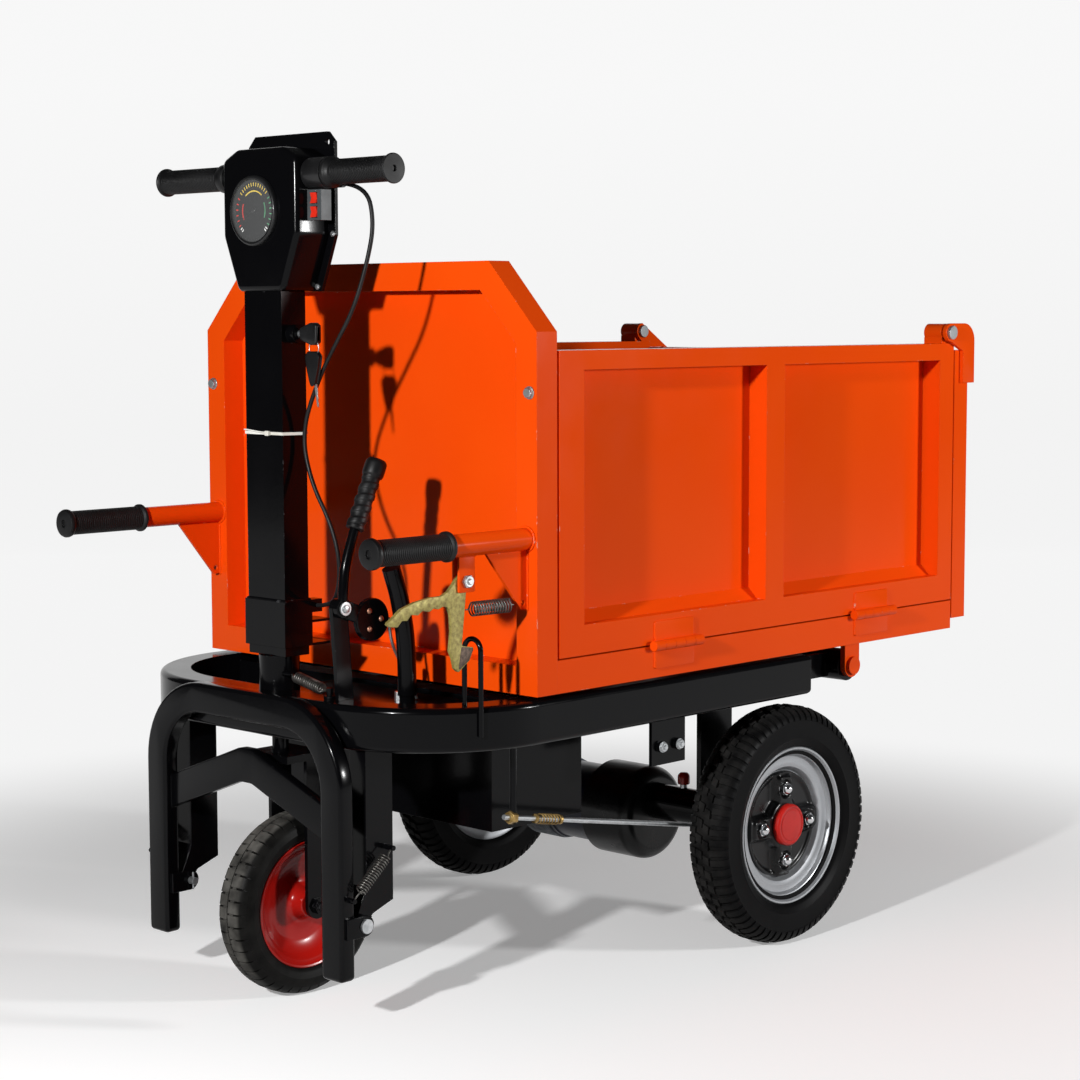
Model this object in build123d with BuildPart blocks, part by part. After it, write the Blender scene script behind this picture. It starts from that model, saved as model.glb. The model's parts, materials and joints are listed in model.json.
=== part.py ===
from build123d import *
import os
from math import cos, pi, radians, sin, sqrt, tan

os.makedirs("parts", exist_ok=True)

# Stand-on electric wheelbarrow with a tipping box, three wheels and a folding step.
# X runs from the operator end to the tail end, Y to the operator's left, Z up from the ground.
# All sizes are millimetres.

# Fits
running = 0.05          # radial clearance of a pin or shaft that turns
snug = 0.1              # radial clearance of a piece that is pushed on and stays
air = 0.5               # gap between faces that pass each other
weld_lap = 2.0          # how far a welded tube reaches into its socket

# Cargo box
headboard_x = -414.0    # face towards the operator
headboard_tube = 44.0   # depth and width of the border tube
headboard_shoulder = 550.0
headboard_height = 657.0
headboard_chamfer = 101.0
box_width = 786.0
box_bottom = 500.0
floor_height = 51.0
floor_rail = 42.0
sheet = 3.0
joist = 40.0
joist_count = 3
side_gap = 5.0          # slit between the headboard and a side wall
side_length = 1043.0
side_lift = 2.5         # slit between the floor rail and a side wall
side_height = 468.0
side_depth = 50.0
top_rail = 25.0
bottom_rail = 47.0
front_stile = 55.0
mid_stile = 40.0
mid_stile_at = 540.0    # middle of the stile along the wall
tail_stile = 43.0
tail_gap = 3.0
tailgate_depth = 41.0
tailgate_drop = 33.0    # its lower edge below the floor's face
tailgate_top_gap = 12.0
board_bolt_y = 378.0
board_bolt_z = 959.0
board_bolt_r = 5.0
board_bolt_head = 6.0
board_bolt_head_r = 9.0
tailgate_frame = 42.0

# Tailgate hinges on the side walls' top rails
hang_pin_r = 8.0
hang_bush_r = 16.0
hang_lift = 20.0        # pin above the side wall's top
hang_bush_length = 38.0
hang_pin_back = 21.0    # from the tail end of the side wall to the pin
hook_plate = 8.0
hook_reach = 10.0       # past the tailgate's outer face
hook_length = 92.0      # below the pin
hook_half = 16.5        # half the hook's width
hook_leg = 32.0         # width of the part that hangs down
hang_pin_head = 5.0
hang_pin_head_r = 12.0
hang_pin_end = 5.0      # pin past its bush
hook_side_gap = 3.5     # right hook to its bush
hang_pad_half = 14.0

# Weld-on side hinges
side_hinge_r = 7.0
side_hinge_length = 58.0
side_hinge_leaf = 4.0
side_hinge_places = (265.0, 795.0)
side_hinge_leaf_height = 24.0

# Push handles
handle_y = 370.0
handle_z = 739.0
handle_length = 314.0
handle_r = 17.0
push_grip_length = 150.0
push_grip_r = 19.5
push_grip_flange_r = 23.0
gusset_plate = 5.0
gusset_length = 100.0
gusset_height = 106.0
gusset_toe = 14.0       # blunt lower corner
gusset_hole_in = 10.0
grip_wall_end = 5.0
grip_rim = 4.0
spring_hole_r = 4.0

# Tip pivot
pivot_x = 422.0
pivot_z = 455.0
pivot_pin_r = 10.0
pivot_tube_r = 28.0
pivot_tube_half = 350.0
lug_plate = 10.0
lug_width = 42.0
tip_pin_depth = 50.0    # pin inside the pivot tube
tip_head = 6.0
tip_head_r = 16.0
pivot_arm_plate = 12.0
pivot_arm_y = 310.0
pivot_arm_half = 21.0

# Chassis rim
rim_front_x = -644.0
rim_length = 905.0
rim_corner_r = 235.0
rim_tube = 50.0
rim_height = 68.0
rim_edge_r = 9.0
rim_gap = 6.0           # between the rim and the box floor
cross_tube = 44.0
cross_lift = 12.0       # above the rim's lower face
cross_lead = 20.0       # ahead of the battery box
bolt_plate_x = -131.0
bolt_plate_length = 82.0
bolt_plate_wall = 6.0
bolt_plate_height = 74.0
bolt_plate_drop = 44.0  # bolts below the rim
rim_bolt_x = -617.0
rim_bolt_y = -150.0
rim_bolt_r = 5.0
rim_bolt_height = 18.0
rim_nut_r = 9.0
rim_nut = 6.0

# Wheels
axle_x = 211.0
tyre_r = 205.0
tyre_width = 80.0
track_half = 363.0
rim_flange_r = 134.0
rim_flange_half = 30.0
rim_lip = 4.0
rim_seat_r = 122.0
rim_wall = 5.0
rim_step_r = 93.0
rim_step_out = 12.0
rim_disc_out = 2.0
rim_bore_r = 32.0
tyre_rise = 1.0         # tyre above the rim flange
tyre_shoulder = 7.0     # crown above the shoulders
tyre_shoulder_in = 9.0  # shoulders inside the widest section
hub_face = 14.0
hub_disc_r = 44.0
cap_height = 14.0
nut_height = 13.0
nut_dome_r = 8.5
cap_round = 5.0
hub_arm = 34.0
cap_r = 36.0
nut_circle_r = 62.0
nut_r = 11.0
axle_r = 15.0
guide_r = 146.0
guide_width = 68.0
guide_rim_r = 102.0
guide_rim_half = 28.0
guide_seat_r = 92.0
guide_disc = 3.0
guide_boss_r = 24.0
guide_boss_half = 30.0
guide_trail = 34.0
guide_axle_r = 8.0
guide_dish_r = 61.0     # where the dished rim meets its middle disc
axle_nut = 12.0
axle_nut_r = 13.0
axle_nut_width = 8.0

# Rear axle and drive
beam_r = 32.0
beam_half = 318.0
gear_case_r = 84.0
gear_case_drop = 24.0
gear_case_from = -86.0
gear_case_to = 22.0
motor_r = 70.0
motor_length = 168.0
motor_fins = 14
motor_fin = 6.0
hanger_plate = 10.0
hanger_y = 215.0
hanger_half = 42.0
stub_out = 12.0         # shaft past the wheel's middle plane
gear_case_round = 22.0
drum_r = 72.0
drum_width = 30.0
breather_y = -150.0
breather_height = 26.0
breather_r = 6.0
breather_cap_r = 10.0
breather_cap = 12.0
breather_neck = 8.0
rod_lug_length = 20.0
rod_lug_half = 8.0

# Battery box
battery_front_x = -374.0
battery_length = 232.0
battery_half = 254.0
battery_height = 172.0
battery_bevel = 26.0

# Steering
steer_x = -590.0
column_depth = 48.0
column_width = 88.0
column_wall = 4.0
column_foot = 548.0
sleeve_wall = 4.0
sleeve_from = 14.0
sleeve_height = 72.0
lug_reach = 36.0
lug_inner = -10.0
socket_size = 20.0
foot_plate = 8.0
steerer_reach = 40.0
head_tube_r = 32.0
steerer_r = 13.0
head_tube_bottom = 425.0
bridge_half = 74.0
bridge_plate = 12.0
bridge_drop = 4.0       # below the cross tubes' top
deck_front_x = -534.0
deck_edge_y = -255.0
deck_bar_x = -508.0
deck_bar_y = -205.0
deck_bar_r = 12.0
deck_bar_top = 693.0
deck_bar_lean = 31.0
deck_bar_foot = 40.0    # straight part above the deck
deck_stud_x = -604.0
deck_stud_z = 520.0
deck_stud_end = -46.0
adjuster_x = -484.0
adjuster_top = 542.0
adjuster_r = 4.0
adjuster_nut_r = 8.0
adjuster_nut = 14.0
crown_top = 392.0
crown_plate = 12.0
crown_front = 26.0
blade_plate = 7.0
blade_width = 42.0
blade_gap = 6.0         # between the tyre and a fork blade

# Steering head
head_half = 88.0
head_bottom = 1112.0
head_waist = 1197.0
head_top = 1330.0
head_foot_half = 54.0
head_shoulder = 34.0
head_shoulder_drop = 16.0
head_depth = 66.0
head_proud = 6.0
back_plate = 6.0
back_plate_rise = 24.0
back_plate_over = 14.0  # past the cover on each side
back_plate_hole_r = 5.0
back_plate_hole_in = 16.0
head_round = 5.0
gauge_r = 54.0
gauge_bezel = 5.0
dial_plate = 3.0
gauge_depth = 8.0
gauge_y = 8.0
gauge_z = 1235.0
bar_r = 11.0
bar_half = 268.0
bar_z = 1289.0
bar_x = -587.0
grip_cap = 4.0
grip_length = 132.0
grip_r = 17.0
grip_flange_r = 22.0
throttle_case_length = 40.0
throttle_case_r = 24.0
throttle_gap = 1.0
nozzle_x = 22.0         # cable outlet behind and below the bar
nozzle_z = -16.0
nozzle_r = 6.0
nozzle_length = 24.0
switch_width = 32.0
switch_height = 46.0
switch_depth = 20.0
switch_z = 1241.0
rocker_half_height = 8.0
rocker_half_width = 6.5
rocker_pin_r = 1.5
rocker_pin_reach = 2.0
rocker_set = 4.0        # pin behind the bracket's face
rocker_back = 3.0
rocker_back_half = 6.0
rocker_dip = 2.5        # middle of the rocker's face behind its ends
rocker_out = 3.0
rocker_play = 0.6
rocker_pitch = 21.0
lock_x = -592.0
lock_z = 1047.0
lock_r = 14.0
lock_length = 16.0
key_slot_r = 4.0
key_length = 44.0
key_depth = 10.0
key_neck = 5.0
key_width = 22.0
key_plate = 4.0
key_round = 7.0
key_hole_r = 3.0
cable_r = 3.5
cable_route = (         # from the throttle case to the socket on the column
    (-566.0, -188.0, 1267.0),
    (-566.0, -204.0, 1212.0),
    (-569.0, -191.0, 1154.0),
    (-576.0, -167.0, 1083.0),
    (-581.0, -130.0, 1030.0),
    (-584.0, -92.0, 975.0),
    (-583.0, -52.0, 895.0),
    (-581.0, -70.0, 820.0),
    (-576.0, -112.0, 755.0),
    (-572.0, -126.0, 700.0),
    (-564.0, -112.0, 650.0),
    (-552.0, -80.0, 626.0),
)

# Hand brake
brake_x = -611.0
brake_y = -165.0
brake_z = 635.0
brake_bar = 8.0
brake_bar_width = 30.0
brake_pin_r = 6.0
brake_arm = 14.0
brake_lean = 72.0       # grip end ahead of the pivot
brake_reach = 216.0     # grip end above the pivot
brake_grip_length = 104.0
brake_grip_r = 15.0
quadrant_r = 33.0
quadrant_offset = (58.0, -22.0)
quadrant_plate = 10.0
rivet_r = 3.0
rivet_head = 1.5
rivet_circle_r = 20.0
brake_head_r = 10.0
brake_head = 3.0
brake_eye_r = 15.0
brake_foot_x = -600.0   # middle of the foot on the rim
brake_elbow = (4.0, 62.0)
brake_grip_foot = (50.0, 116.0)
brake_cord_r = 2.5
brake_cord_end_x = -459.0

# Box latch
latch_y = -362.0
latch_x = -538.0
latch_z = 685.0
latch_plate = 6.0
latch_pin_r = 5.0
latch_ear = 4.0
latch_ear_half = 16.0
latch_head = 4.0
latch_head_r = 8.0
latch_boss_r = 13.0
latch_shank = (         # hook outline about the bolt, hooked under the loop
    (-12.0, 6.0), (-22.0, -10.0), (-24.0, -106.0), (-5.0, -137.0), (24.0, -100.0), (5.0, -97.0), (5.0, -4.0))
latch_handle = ((-16.0, -18.0), (-60.0, -22.0), (-112.0, -40.0), (-154.0, -72.0))
latch_handle_width = 16.0
latch_spring_at = (5.0, -48.0)
latch_open = 3.0        # degrees the hook stands back from under the loop
loop_x = -514.0
loop_rod_r = 4.0
loop_top = 600.0
loop_inner_y = -338.0
loop_foot = 450.0

# Brake rod under the chassis
brake_rod_y = -340.0
brake_rod_x = -434.0
brake_rod_z = 312.0
brake_rod_r = 5.0
hanger_rod_x = -412.0
rod_nut_r = 10.0
rod_nut = 12.0
rod_spring_from = 80.0  # along the rod
rod_spring_length = 52.0

# Folding step
step_front_x = -674.0
step_tube_depth = 28.0
step_tube_width = 48.0
step_half = 237.0
step_bottom = 80.0
step_top = 499.0
step_corner_r = 110.0
step_pin_z = 162.0
step_pin_back = 16.0    # pin behind the legs' back face
step_pin_r = 6.0
step_ear = 6.0
brace_depth = 16.0
brace_height = 54.0
brace_apex = 406.0
brace_end = 340.0
bracket_width = 36.0
bracket_depth = 54.0
bracket_foot = 190.0
bracket_nose_r = 13.0
bracket_set = 12.0      # post behind the pin
bracket_spring_inset = 16.0
bracket_spring_z = 274.0
step_spring_x = -659.0
step_spring_z = 206.0
spring_stud = 20.0
stud_r = 4.0
hook_gap = 0.3          # between a spring's tail and its stud
brace_flat = 14.0
step_ear_lap = 20.0
step_ear_r = 16.0
pin_tail = 12.0
pin_head = 4.0
pin_head_r = 11.0
cotter_half = 14.0
cotter_r = 1.5

# Springs: mean coil radius, wire radius and turns
latch_coil = (6.5, 1.2, 14)
step_coil = (8.0, 1.3, 15)
steer_coil = (8.0, 1.4, 13)
rod_coil = (7.5, 1.1, 7)
coil_lead = 1.5         # lead into the first turn, in coil radii
bend_share = 0.45       # of the shorter run, taken by a bend

# Places worked out from the sizes above
half_box = box_width / 2
headboard_back = headboard_x + headboard_tube
headboard_top = box_bottom + headboard_height
shoulder_z = box_bottom + headboard_shoulder
floor_top = box_bottom + floor_height
side_front = headboard_back + side_gap
side_tail = side_front + side_length
side_bottom = floor_top + side_lift
side_top = side_bottom + side_height
tailgate_in = side_tail + tail_gap
tailgate_out = tailgate_in + tailgate_depth
hang_x = side_tail - hang_pin_back
hang_z = side_top + hang_lift
rim_half = half_box
rim_top = box_bottom - rim_gap
rim_bottom = rim_top - rim_height
rim_end_x = rim_front_x + rim_length
rim_corner_x = rim_front_x + rim_corner_r
guide_x = steer_x + guide_trail
blade_in = guide_width / 2 + blade_gap
column_front = steer_x - column_depth / 2
head_front = column_front - head_proud
head_back = head_front + head_depth
step_back_x = step_front_x + step_tube_depth
step_pin_x = step_back_x + step_pin_back
step_inner = step_half - step_tube_width
bracket_mid = step_half - step_tube_width / 2
pivot_lug_in = pivot_tube_half + air
tailgate_half = half_box + air
case_from = -head_half - throttle_gap
case_to = case_from - throttle_case_length


def save(builder, label):
    builder.part.label = label
    export_step(builder.part, f"parts/{label}.step")


def block(x0, x1, y0, y1, z0, z1, mode=Mode.ADD):
    with Locations(((x0 + x1) / 2, (y0 + y1) / 2, (z0 + z1) / 2)):
        Box(x1 - x0, y1 - y0, z1 - z0, mode=mode)


def rod(axis, at, start, end, radius, mode=Mode.ADD):
    """Round bar along X, Y or Z; at holds the two other coordinates in order."""
    middle = (start + end) / 2
    place = {
        "X": Location((middle, at[0], at[1]), (0, 90, 0)),
        "Y": Location((at[0], middle, at[1]), (90, 0, 0)),
        "Z": Location((at[0], at[1], middle)),
    }[axis]
    with Locations(place):
        Cylinder(radius, abs(end - start), mode=mode)


def facing_y(y):
    """Plane with X to the right and Z up, extruded towards -Y."""
    return Plane(origin=(0, y, 0), x_dir=(1, 0, 0), z_dir=(0, -1, 0))


def facing_x(x):
    """Plane with Y to the right and Z up, extruded towards +X."""
    return Plane(origin=(x, 0, 0), x_dir=(0, 1, 0), z_dir=(1, 0, 0))


def outline(points):
    Polygon(*points, align=None)


def span(side, near, far):
    """Y range between two distances from the middle, on side +1 or -1."""
    return sorted((side * near, side * far))


def wheel_plane(x, y, z, side):
    """Plane for a wheel's half section: local X points outwards along Y, local Y is the radius."""
    return Plane(origin=(x, y, z), x_dir=(0, side, 0), z_dir=(side, 0, 0))


def helix_points(start, end, radius, turns):
    """Points and tangents of a helix about the line from start to end, two to a turn."""
    start = Vector(start)
    axis = Vector(end) - start
    along = axis.normalized()
    across = along.cross(Vector(0, 0, 1))
    if across.length < 0.1:
        across = along.cross(Vector(0, 1, 0))
    across = across.normalized()
    third = along.cross(across)
    found = []
    for step in range(2 * turns + 1):
        angle = pi * step
        out = across * cos(angle) + third * sin(angle)
        round_way = third * cos(angle) - across * sin(angle)
        point = start + axis * (step / (2 * turns)) + out * radius
        tangent = round_way * (2 * pi * radius) + axis * (1 / turns)
        found.append((point, tangent.normalized()))
    return found


def biarc(p0, t0, p1, t1):
    """Two tangent arcs from p0 along t0 to p1 along t1."""
    chord = p1 - p0
    a = 2 * t0.dot(t1) - 2
    b = -2 * chord.dot(t0 + t1)
    c = chord.dot(chord)
    reach = (-b - sqrt(b * b - 4 * a * c)) / (2 * a)
    knee0 = p0 + t0 * reach
    knee1 = p1 - t1 * reach
    joint = (knee0 + knee1) * 0.5
    TangentArc(p0, joint, tangent=t0)
    TangentArc(joint, p1, tangent=(knee1 - knee0).normalized())


def least_gap(wire_path, wire):
    """Smallest clear distance between two turns, measured on points along the wire's middle line."""
    count = int(wire_path.length / wire)
    points = [wire_path.position_at(i / count) for i in range(count + 1)]
    skip = 6
    best = None
    for i, first in enumerate(points):
        for second in points[i + skip:]:
            distance = (second - first).length
            if best is None or distance < best:
                best = distance
    return best - 2 * wire


def coil(label, start, end, size, hooked=True):
    """Helical spring of one wire. Hooked ends lie on its axis, plain ends run off along the last turn."""
    radius, wire, turns = size
    start = Vector(start)
    end = Vector(end)
    along = (end - start).normalized()
    tail = 2 * wire
    inset = along * ((tail + radius * coil_lead) if hooked else 0)
    points = helix_points(start + inset, end - inset, radius, turns)
    with BuildPart() as spring:
        with BuildLine() as path:
            if hooked:
                Line(start, start + along * tail)
                biarc(start + along * tail, along, *points[0])
            else:
                Line(points[0][0] - points[0][1] * tail, points[0][0])
            for (p0, t0), (p1, t1) in zip(points, points[1:]):
                biarc(p0, t0, p1, t1)
            if hooked:
                biarc(*points[-1], end - along * tail, along)
                Line(end - along * tail, end)
            else:
                Line(points[-1][0], points[-1][0] + points[-1][1] * tail)
        with BuildSketch(Plane(origin=path.wires()[0].position_at(0), z_dir=path.wires()[0].tangent_at(0))):
            Circle(wire)
        sweep()
    print(label, "least gap between turns", round(least_gap(path.wires()[0], wire), 2))
    return spring


def cord(label, points, radius):
    """Round cord along a rounded polyline, each bend as large as its two runs allow."""
    points = [Vector(*p) for p in points]
    bends = []
    for before, here, after in zip(points, points[1:], points[2:]):
        turn = (here - before).get_angle(after - here)
        shorter = min((here - before).length, (after - here).length)
        bends.append(bend_share * shorter / tan(radians(turn) / 2))
    with BuildPart() as swept:
        with BuildLine() as path:
            FilletPolyline(*points, radius=bends)
        with BuildSketch(Plane(origin=points[0], z_dir=points[1] - points[0])):
            Circle(radius)
        sweep()
    print(label, "tightest bend", round(min(bends), 1), "volume", round(swept.part.volume),
          "section times length", round(pi * radius ** 2 * path.wires()[0].length))
    return swept


# Chassis rim: one tube bent round the operator end and closed at the tail, with the spring's bolt
with BuildPart() as chassis_rim:
    with BuildSketch(Plane.XY.offset(rim_bottom)) as plan:
        with Locations((rim_front_x + rim_length / 2, 0)):
            Rectangle(rim_length, 2 * rim_half)
        fillet(plan.vertices().group_by(Axis.X)[0], rim_corner_r)
    extrude(amount=rim_height)
    rim_faces = chassis_rim.faces().sort_by(Axis.Z)
    fillet(rim_faces[-1].edges() + rim_faces[0].edges(), rim_edge_r)
    with BuildSketch(Plane.XY.offset(rim_bottom)) as well:
        with Locations((rim_front_x + rim_length / 2, 0)):
            Rectangle(rim_length - 2 * rim_tube, 2 * rim_half - 2 * rim_tube)
        fillet(well.vertices().group_by(Axis.X)[0], rim_corner_r - rim_tube)
    extrude(amount=rim_height, mode=Mode.SUBTRACT)
    rod("Z", (steer_x, 0), rim_bottom, rim_top, head_tube_r, Mode.SUBTRACT)
    rod("Z", (rim_bolt_x, rim_bolt_y), rim_top - weld_lap, rim_top + rim_bolt_height, rim_bolt_r)
    rod("Z", (rim_bolt_x, rim_bolt_y), rim_top - weld_lap, rim_top + rim_nut, rim_nut_r)
    plate_out = rim_tube / 2 - rim_half
    block(bolt_plate_x, bolt_plate_x + bolt_plate_length, plate_out - bolt_plate_wall, plate_out,
          rim_bottom - bolt_plate_height, rim_bottom + weld_lap)
    for share in (0.25, 0.75):
        rod("Y", (bolt_plate_x + bolt_plate_length * share, rim_bottom - bolt_plate_drop),
            plate_out - bolt_plate_wall - rim_nut, plate_out, rim_nut_r)
save(chassis_rim, "chassis_rim")

# Cross tubes inside the rim
cross_bottom = rim_bottom + cross_lift
cross_top = cross_bottom + cross_tube
bridge_tail = battery_front_x - cross_lead
battery_tail = battery_front_x + battery_length
cross_places = (
    bridge_tail,
    battery_tail - cross_tube,
    axle_x - hanger_half - cross_tube / 2,
)
with BuildPart() as cross_tubes:
    for x in cross_places:
        block(x, x + cross_tube, rim_tube - rim_half, rim_half - rim_tube, cross_bottom, cross_top)
save(cross_tubes, "cross_tubes")

# Steering head: bridge and deck plates from the rim to the front cross tube, with the head tube,
# the bent bar, the cable adjuster and the spring's stud
bridge_top = cross_top - bridge_drop
bridge_bottom = bridge_top - bridge_plate
with BuildPart() as steering_head:
    with BuildLine():
        Line((deck_bar_x, deck_bar_y, bridge_top), (deck_bar_x, deck_bar_y, bridge_top + deck_bar_foot))
        TangentArc((deck_bar_x, deck_bar_y, bridge_top + deck_bar_foot),
                   (deck_bar_x - deck_bar_lean, deck_bar_y, deck_bar_top), tangent=(0, 0, 1))
    with BuildSketch(Plane(origin=(deck_bar_x, deck_bar_y, bridge_top))):
        Circle(deck_bar_r)
    sweep()
    block(rim_front_x + rim_tube, bridge_tail, -bridge_half, bridge_half, bridge_bottom, bridge_top)
    block(deck_front_x, bridge_tail, deck_edge_y, -bridge_half, bridge_bottom, bridge_top)
    rod("Z", (adjuster_x, brake_y), bridge_bottom, adjuster_top, adjuster_r)
    rod("Z", (adjuster_x, brake_y), bridge_top, bridge_top + adjuster_nut, adjuster_nut_r)
    rod("Y", (deck_stud_x, deck_stud_z), deck_stud_end, 0, stud_r)
    rod("Z", (steer_x, 0), head_tube_bottom, column_foot - air, head_tube_r)
    rod("Z", (steer_x, 0), head_tube_bottom, column_foot, steerer_r + running, Mode.SUBTRACT)
save(steering_head, "steering_head")

# Step brackets: posts under the rim, each with a nose for the step's pin and a stud for its spring
bracket_front = step_pin_x + bracket_set
bracket_rear = bracket_front + bracket_depth
spring_pin_x = bracket_rear - bracket_spring_inset
with BuildPart() as step_brackets:
    for side in (1, -1):
        bracket_out = bracket_mid + bracket_width / 2
        low_y, high_y = span(side, bracket_mid - bracket_width / 2, bracket_out)
        with BuildSketch(facing_y(high_y)):
            outline([
                (bracket_front, rim_bottom),
                (bracket_rear, rim_bottom),
                (bracket_rear, bracket_foot),
                (bracket_front + bracket_set, step_pin_z + bracket_nose_r),
                (step_pin_x, step_pin_z - bracket_nose_r),
                (step_pin_x - bracket_nose_r, step_pin_z),
                (bracket_front, bracket_foot + bracket_depth / 2),
            ])
            with Locations((step_pin_x, step_pin_z)):
                Circle(bracket_nose_r)
        extrude(amount=bracket_width)
        rod("Y", (step_pin_x, step_pin_z), low_y, high_y, step_pin_r + running, Mode.SUBTRACT)
        rod("Y", (spring_pin_x, bracket_spring_z), *span(side, bracket_out - weld_lap, bracket_out + spring_stud),
            stud_r)
save(step_brackets, "step_brackets")

# Folding step: bent tube, arched brace, ears for the pins and studs for the springs
step_spring_y = bracket_mid + bracket_width / 2 + spring_stud - stud_r
with BuildPart() as step_frame:
    with BuildSketch(facing_x(step_front_x)) as arch:
        with Locations((0, (step_top + step_bottom) / 2)):
            Rectangle(2 * step_half, step_top - step_bottom)
        fillet(arch.vertices().group_by(Axis.Y)[-1], step_corner_r)
    extrude(amount=step_tube_depth)
    with BuildSketch(facing_x(step_front_x)) as inside:
        inner_top = step_top - step_tube_width
        with Locations((0, (inner_top + step_bottom) / 2)):
            Rectangle(2 * step_inner, inner_top - step_bottom)
        fillet(inside.vertices().group_by(Axis.Y)[-1], step_corner_r - step_tube_width)
    extrude(amount=step_tube_depth, mode=Mode.SUBTRACT)
    with BuildSketch(facing_x(step_back_x - brace_depth)):
        outline([
            (-step_inner, brace_end),
            (-brace_flat, brace_apex),
            (brace_flat, brace_apex),
            (step_inner, brace_end),
            (step_inner, brace_end - brace_height),
            (brace_flat, brace_apex - brace_height),
            (-brace_flat, brace_apex - brace_height),
            (-step_inner, brace_end - brace_height),
        ])
    extrude(amount=brace_depth)
    for side in (1, -1):
        for near, far in ((step_half, step_half + step_ear), (step_inner - step_ear, step_inner)):
            low_y, high_y = span(side, near, far)
            with BuildSketch(facing_y(high_y)):
                with Locations(((step_back_x - step_ear_lap + step_pin_x) / 2, step_pin_z)):
                    Rectangle(step_pin_x - step_back_x + step_ear_lap, 2 * step_ear_r)
                with Locations((step_pin_x, step_pin_z)):
                    Circle(step_ear_r)
            extrude(amount=step_ear)
            rod("Y", (step_pin_x, step_pin_z), low_y, high_y, step_pin_r + running, Mode.SUBTRACT)
        rod("Y", (step_spring_x, step_spring_z), *span(side, step_half - weld_lap, step_spring_y + stud_r), stud_r)
save(step_frame, "step_frame")

with BuildPart() as step_pins:
    for side in (1, -1):
        outer_face = step_half + step_ear
        inner_face = step_inner - step_ear
        rod("Y", (step_pin_x, step_pin_z), *span(side, inner_face - pin_tail, outer_face), step_pin_r)
        rod("Y", (step_pin_x, step_pin_z), *span(side, outer_face, outer_face + pin_head), pin_head_r)
        rod("Z", (step_pin_x, side * (inner_face - pin_tail / 2)),
            step_pin_z - cotter_half, step_pin_z + cotter_half, cotter_r)
save(step_pins, "step_pins")

step_coils = []
for side, word in ((1, "left"), (-1, "right")):
    low = Vector(step_spring_x, side * step_spring_y, step_spring_z)
    high = Vector(spring_pin_x, side * step_spring_y, bracket_spring_z)
    along = (high - low).normalized() * (stud_r + hook_gap)
    step_coils.append(coil(f"step_spring_{word}", low + along, high - along, step_coil))
with BuildPart() as step_springs:
    add(step_coils[0].part)
    add(step_coils[1].part)
save(step_springs, "step_springs")

# Spring on the deck between the head tube's stud and the rim's bolt
deck_spring = coil(
    "deck_spring",
    (deck_stud_x, deck_stud_end - hook_gap, deck_stud_z),
    (rim_bolt_x, rim_bolt_y + rim_bolt_r + hook_gap, rim_top + rim_bolt_height - rim_nut),
    steer_coil)
save(deck_spring, "deck_spring")

# Latch loop: bent rod with one foot on the rim and one on its outer face
loop_outer_y = -(rim_half - rim_corner_r) - sqrt(
    (rim_corner_r + loop_rod_r) ** 2 - (rim_corner_x - loop_x) ** 2)
loop_half = (loop_inner_y - loop_outer_y) / 2
loop_mid_y = (loop_inner_y + loop_outer_y) / 2
loop_arch_z = loop_top - loop_rod_r - loop_half
with BuildPart() as latch_loop:
    with BuildLine():
        Line((loop_x, loop_inner_y, rim_top), (loop_x, loop_inner_y, loop_arch_z))
        ThreePointArc(
            (loop_x, loop_inner_y, loop_arch_z),
            (loop_x, loop_mid_y, loop_arch_z + loop_half),
            (loop_x, loop_outer_y, loop_arch_z))
        Line((loop_x, loop_outer_y, loop_arch_z), (loop_x, loop_outer_y, loop_foot))
    with BuildSketch(Plane(origin=(loop_x, loop_inner_y, rim_top), z_dir=(0, 0, 1))):
        Circle(loop_rod_r)
    sweep()
save(latch_loop, "latch_loop")

# Tip pivot: a tube across the tail end on two arms
with BuildPart() as pivot_tube:
    rod("Y", (pivot_x, pivot_z), -pivot_tube_half, pivot_tube_half, pivot_tube_r)
    for side in (1, -1):
        block(rim_end_x, pivot_x, *span(side, pivot_arm_y, pivot_arm_y + pivot_arm_plate),
              pivot_z - pivot_arm_half, pivot_z + pivot_arm_half)
    rod("Y", (pivot_x, pivot_z), -pivot_tube_half, pivot_tube_half, pivot_pin_r + running, Mode.SUBTRACT)
save(pivot_tube, "pivot_tube")

# Battery box hung under the cross tubes
with BuildPart() as battery_box:
    block(battery_front_x, battery_tail, -battery_half, battery_half, cross_bottom - battery_height, cross_bottom)
    upright = battery_box.edges().filter_by(Axis.Z).group_by(Axis.X)[-1]
    chamfer(upright, battery_bevel)
save(battery_box, "battery_box")

# Rear axle: beam with stub shafts, hangers, brake drums and a breather
rod_end_x = axle_x - drum_r - rod_lug_length + weld_lap
drum_mid = beam_half - drum_width / 2
with BuildPart() as axle_beam:
    rod("Y", (axle_x, tyre_r), -beam_half, beam_half, beam_r)
    rod("Y", (axle_x, tyre_r), -track_half - stub_out, track_half + stub_out, axle_r)
    for side in (1, -1):
        block(axle_x - hanger_half, axle_x + hanger_half, *span(side, hanger_y, hanger_y + hanger_plate),
              tyre_r, rim_bottom)
        block(axle_x - hanger_half, cross_places[-1] + cross_tube, *span(side, hanger_y, hanger_y + hanger_plate),
              rim_bottom, cross_bottom)
        rod("Y", (axle_x, tyre_r), *span(side, beam_half - drum_width, beam_half), drum_r)
    block(rod_end_x, axle_x, -drum_mid - rod_lug_half, rod_lug_half - drum_mid,
          tyre_r - 2 * rod_lug_half, tyre_r + 2 * rod_lug_half)
    breather_foot = tyre_r + beam_r
    rod("Z", (axle_x, breather_y), tyre_r, breather_foot + breather_height, breather_r)
    rod("Z", (axle_x, breather_y), breather_foot + breather_neck, breather_foot + breather_neck + breather_cap,
        breather_cap_r)
save(axle_beam, "axle_beam")
gear_z = tyre_r - gear_case_drop
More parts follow.
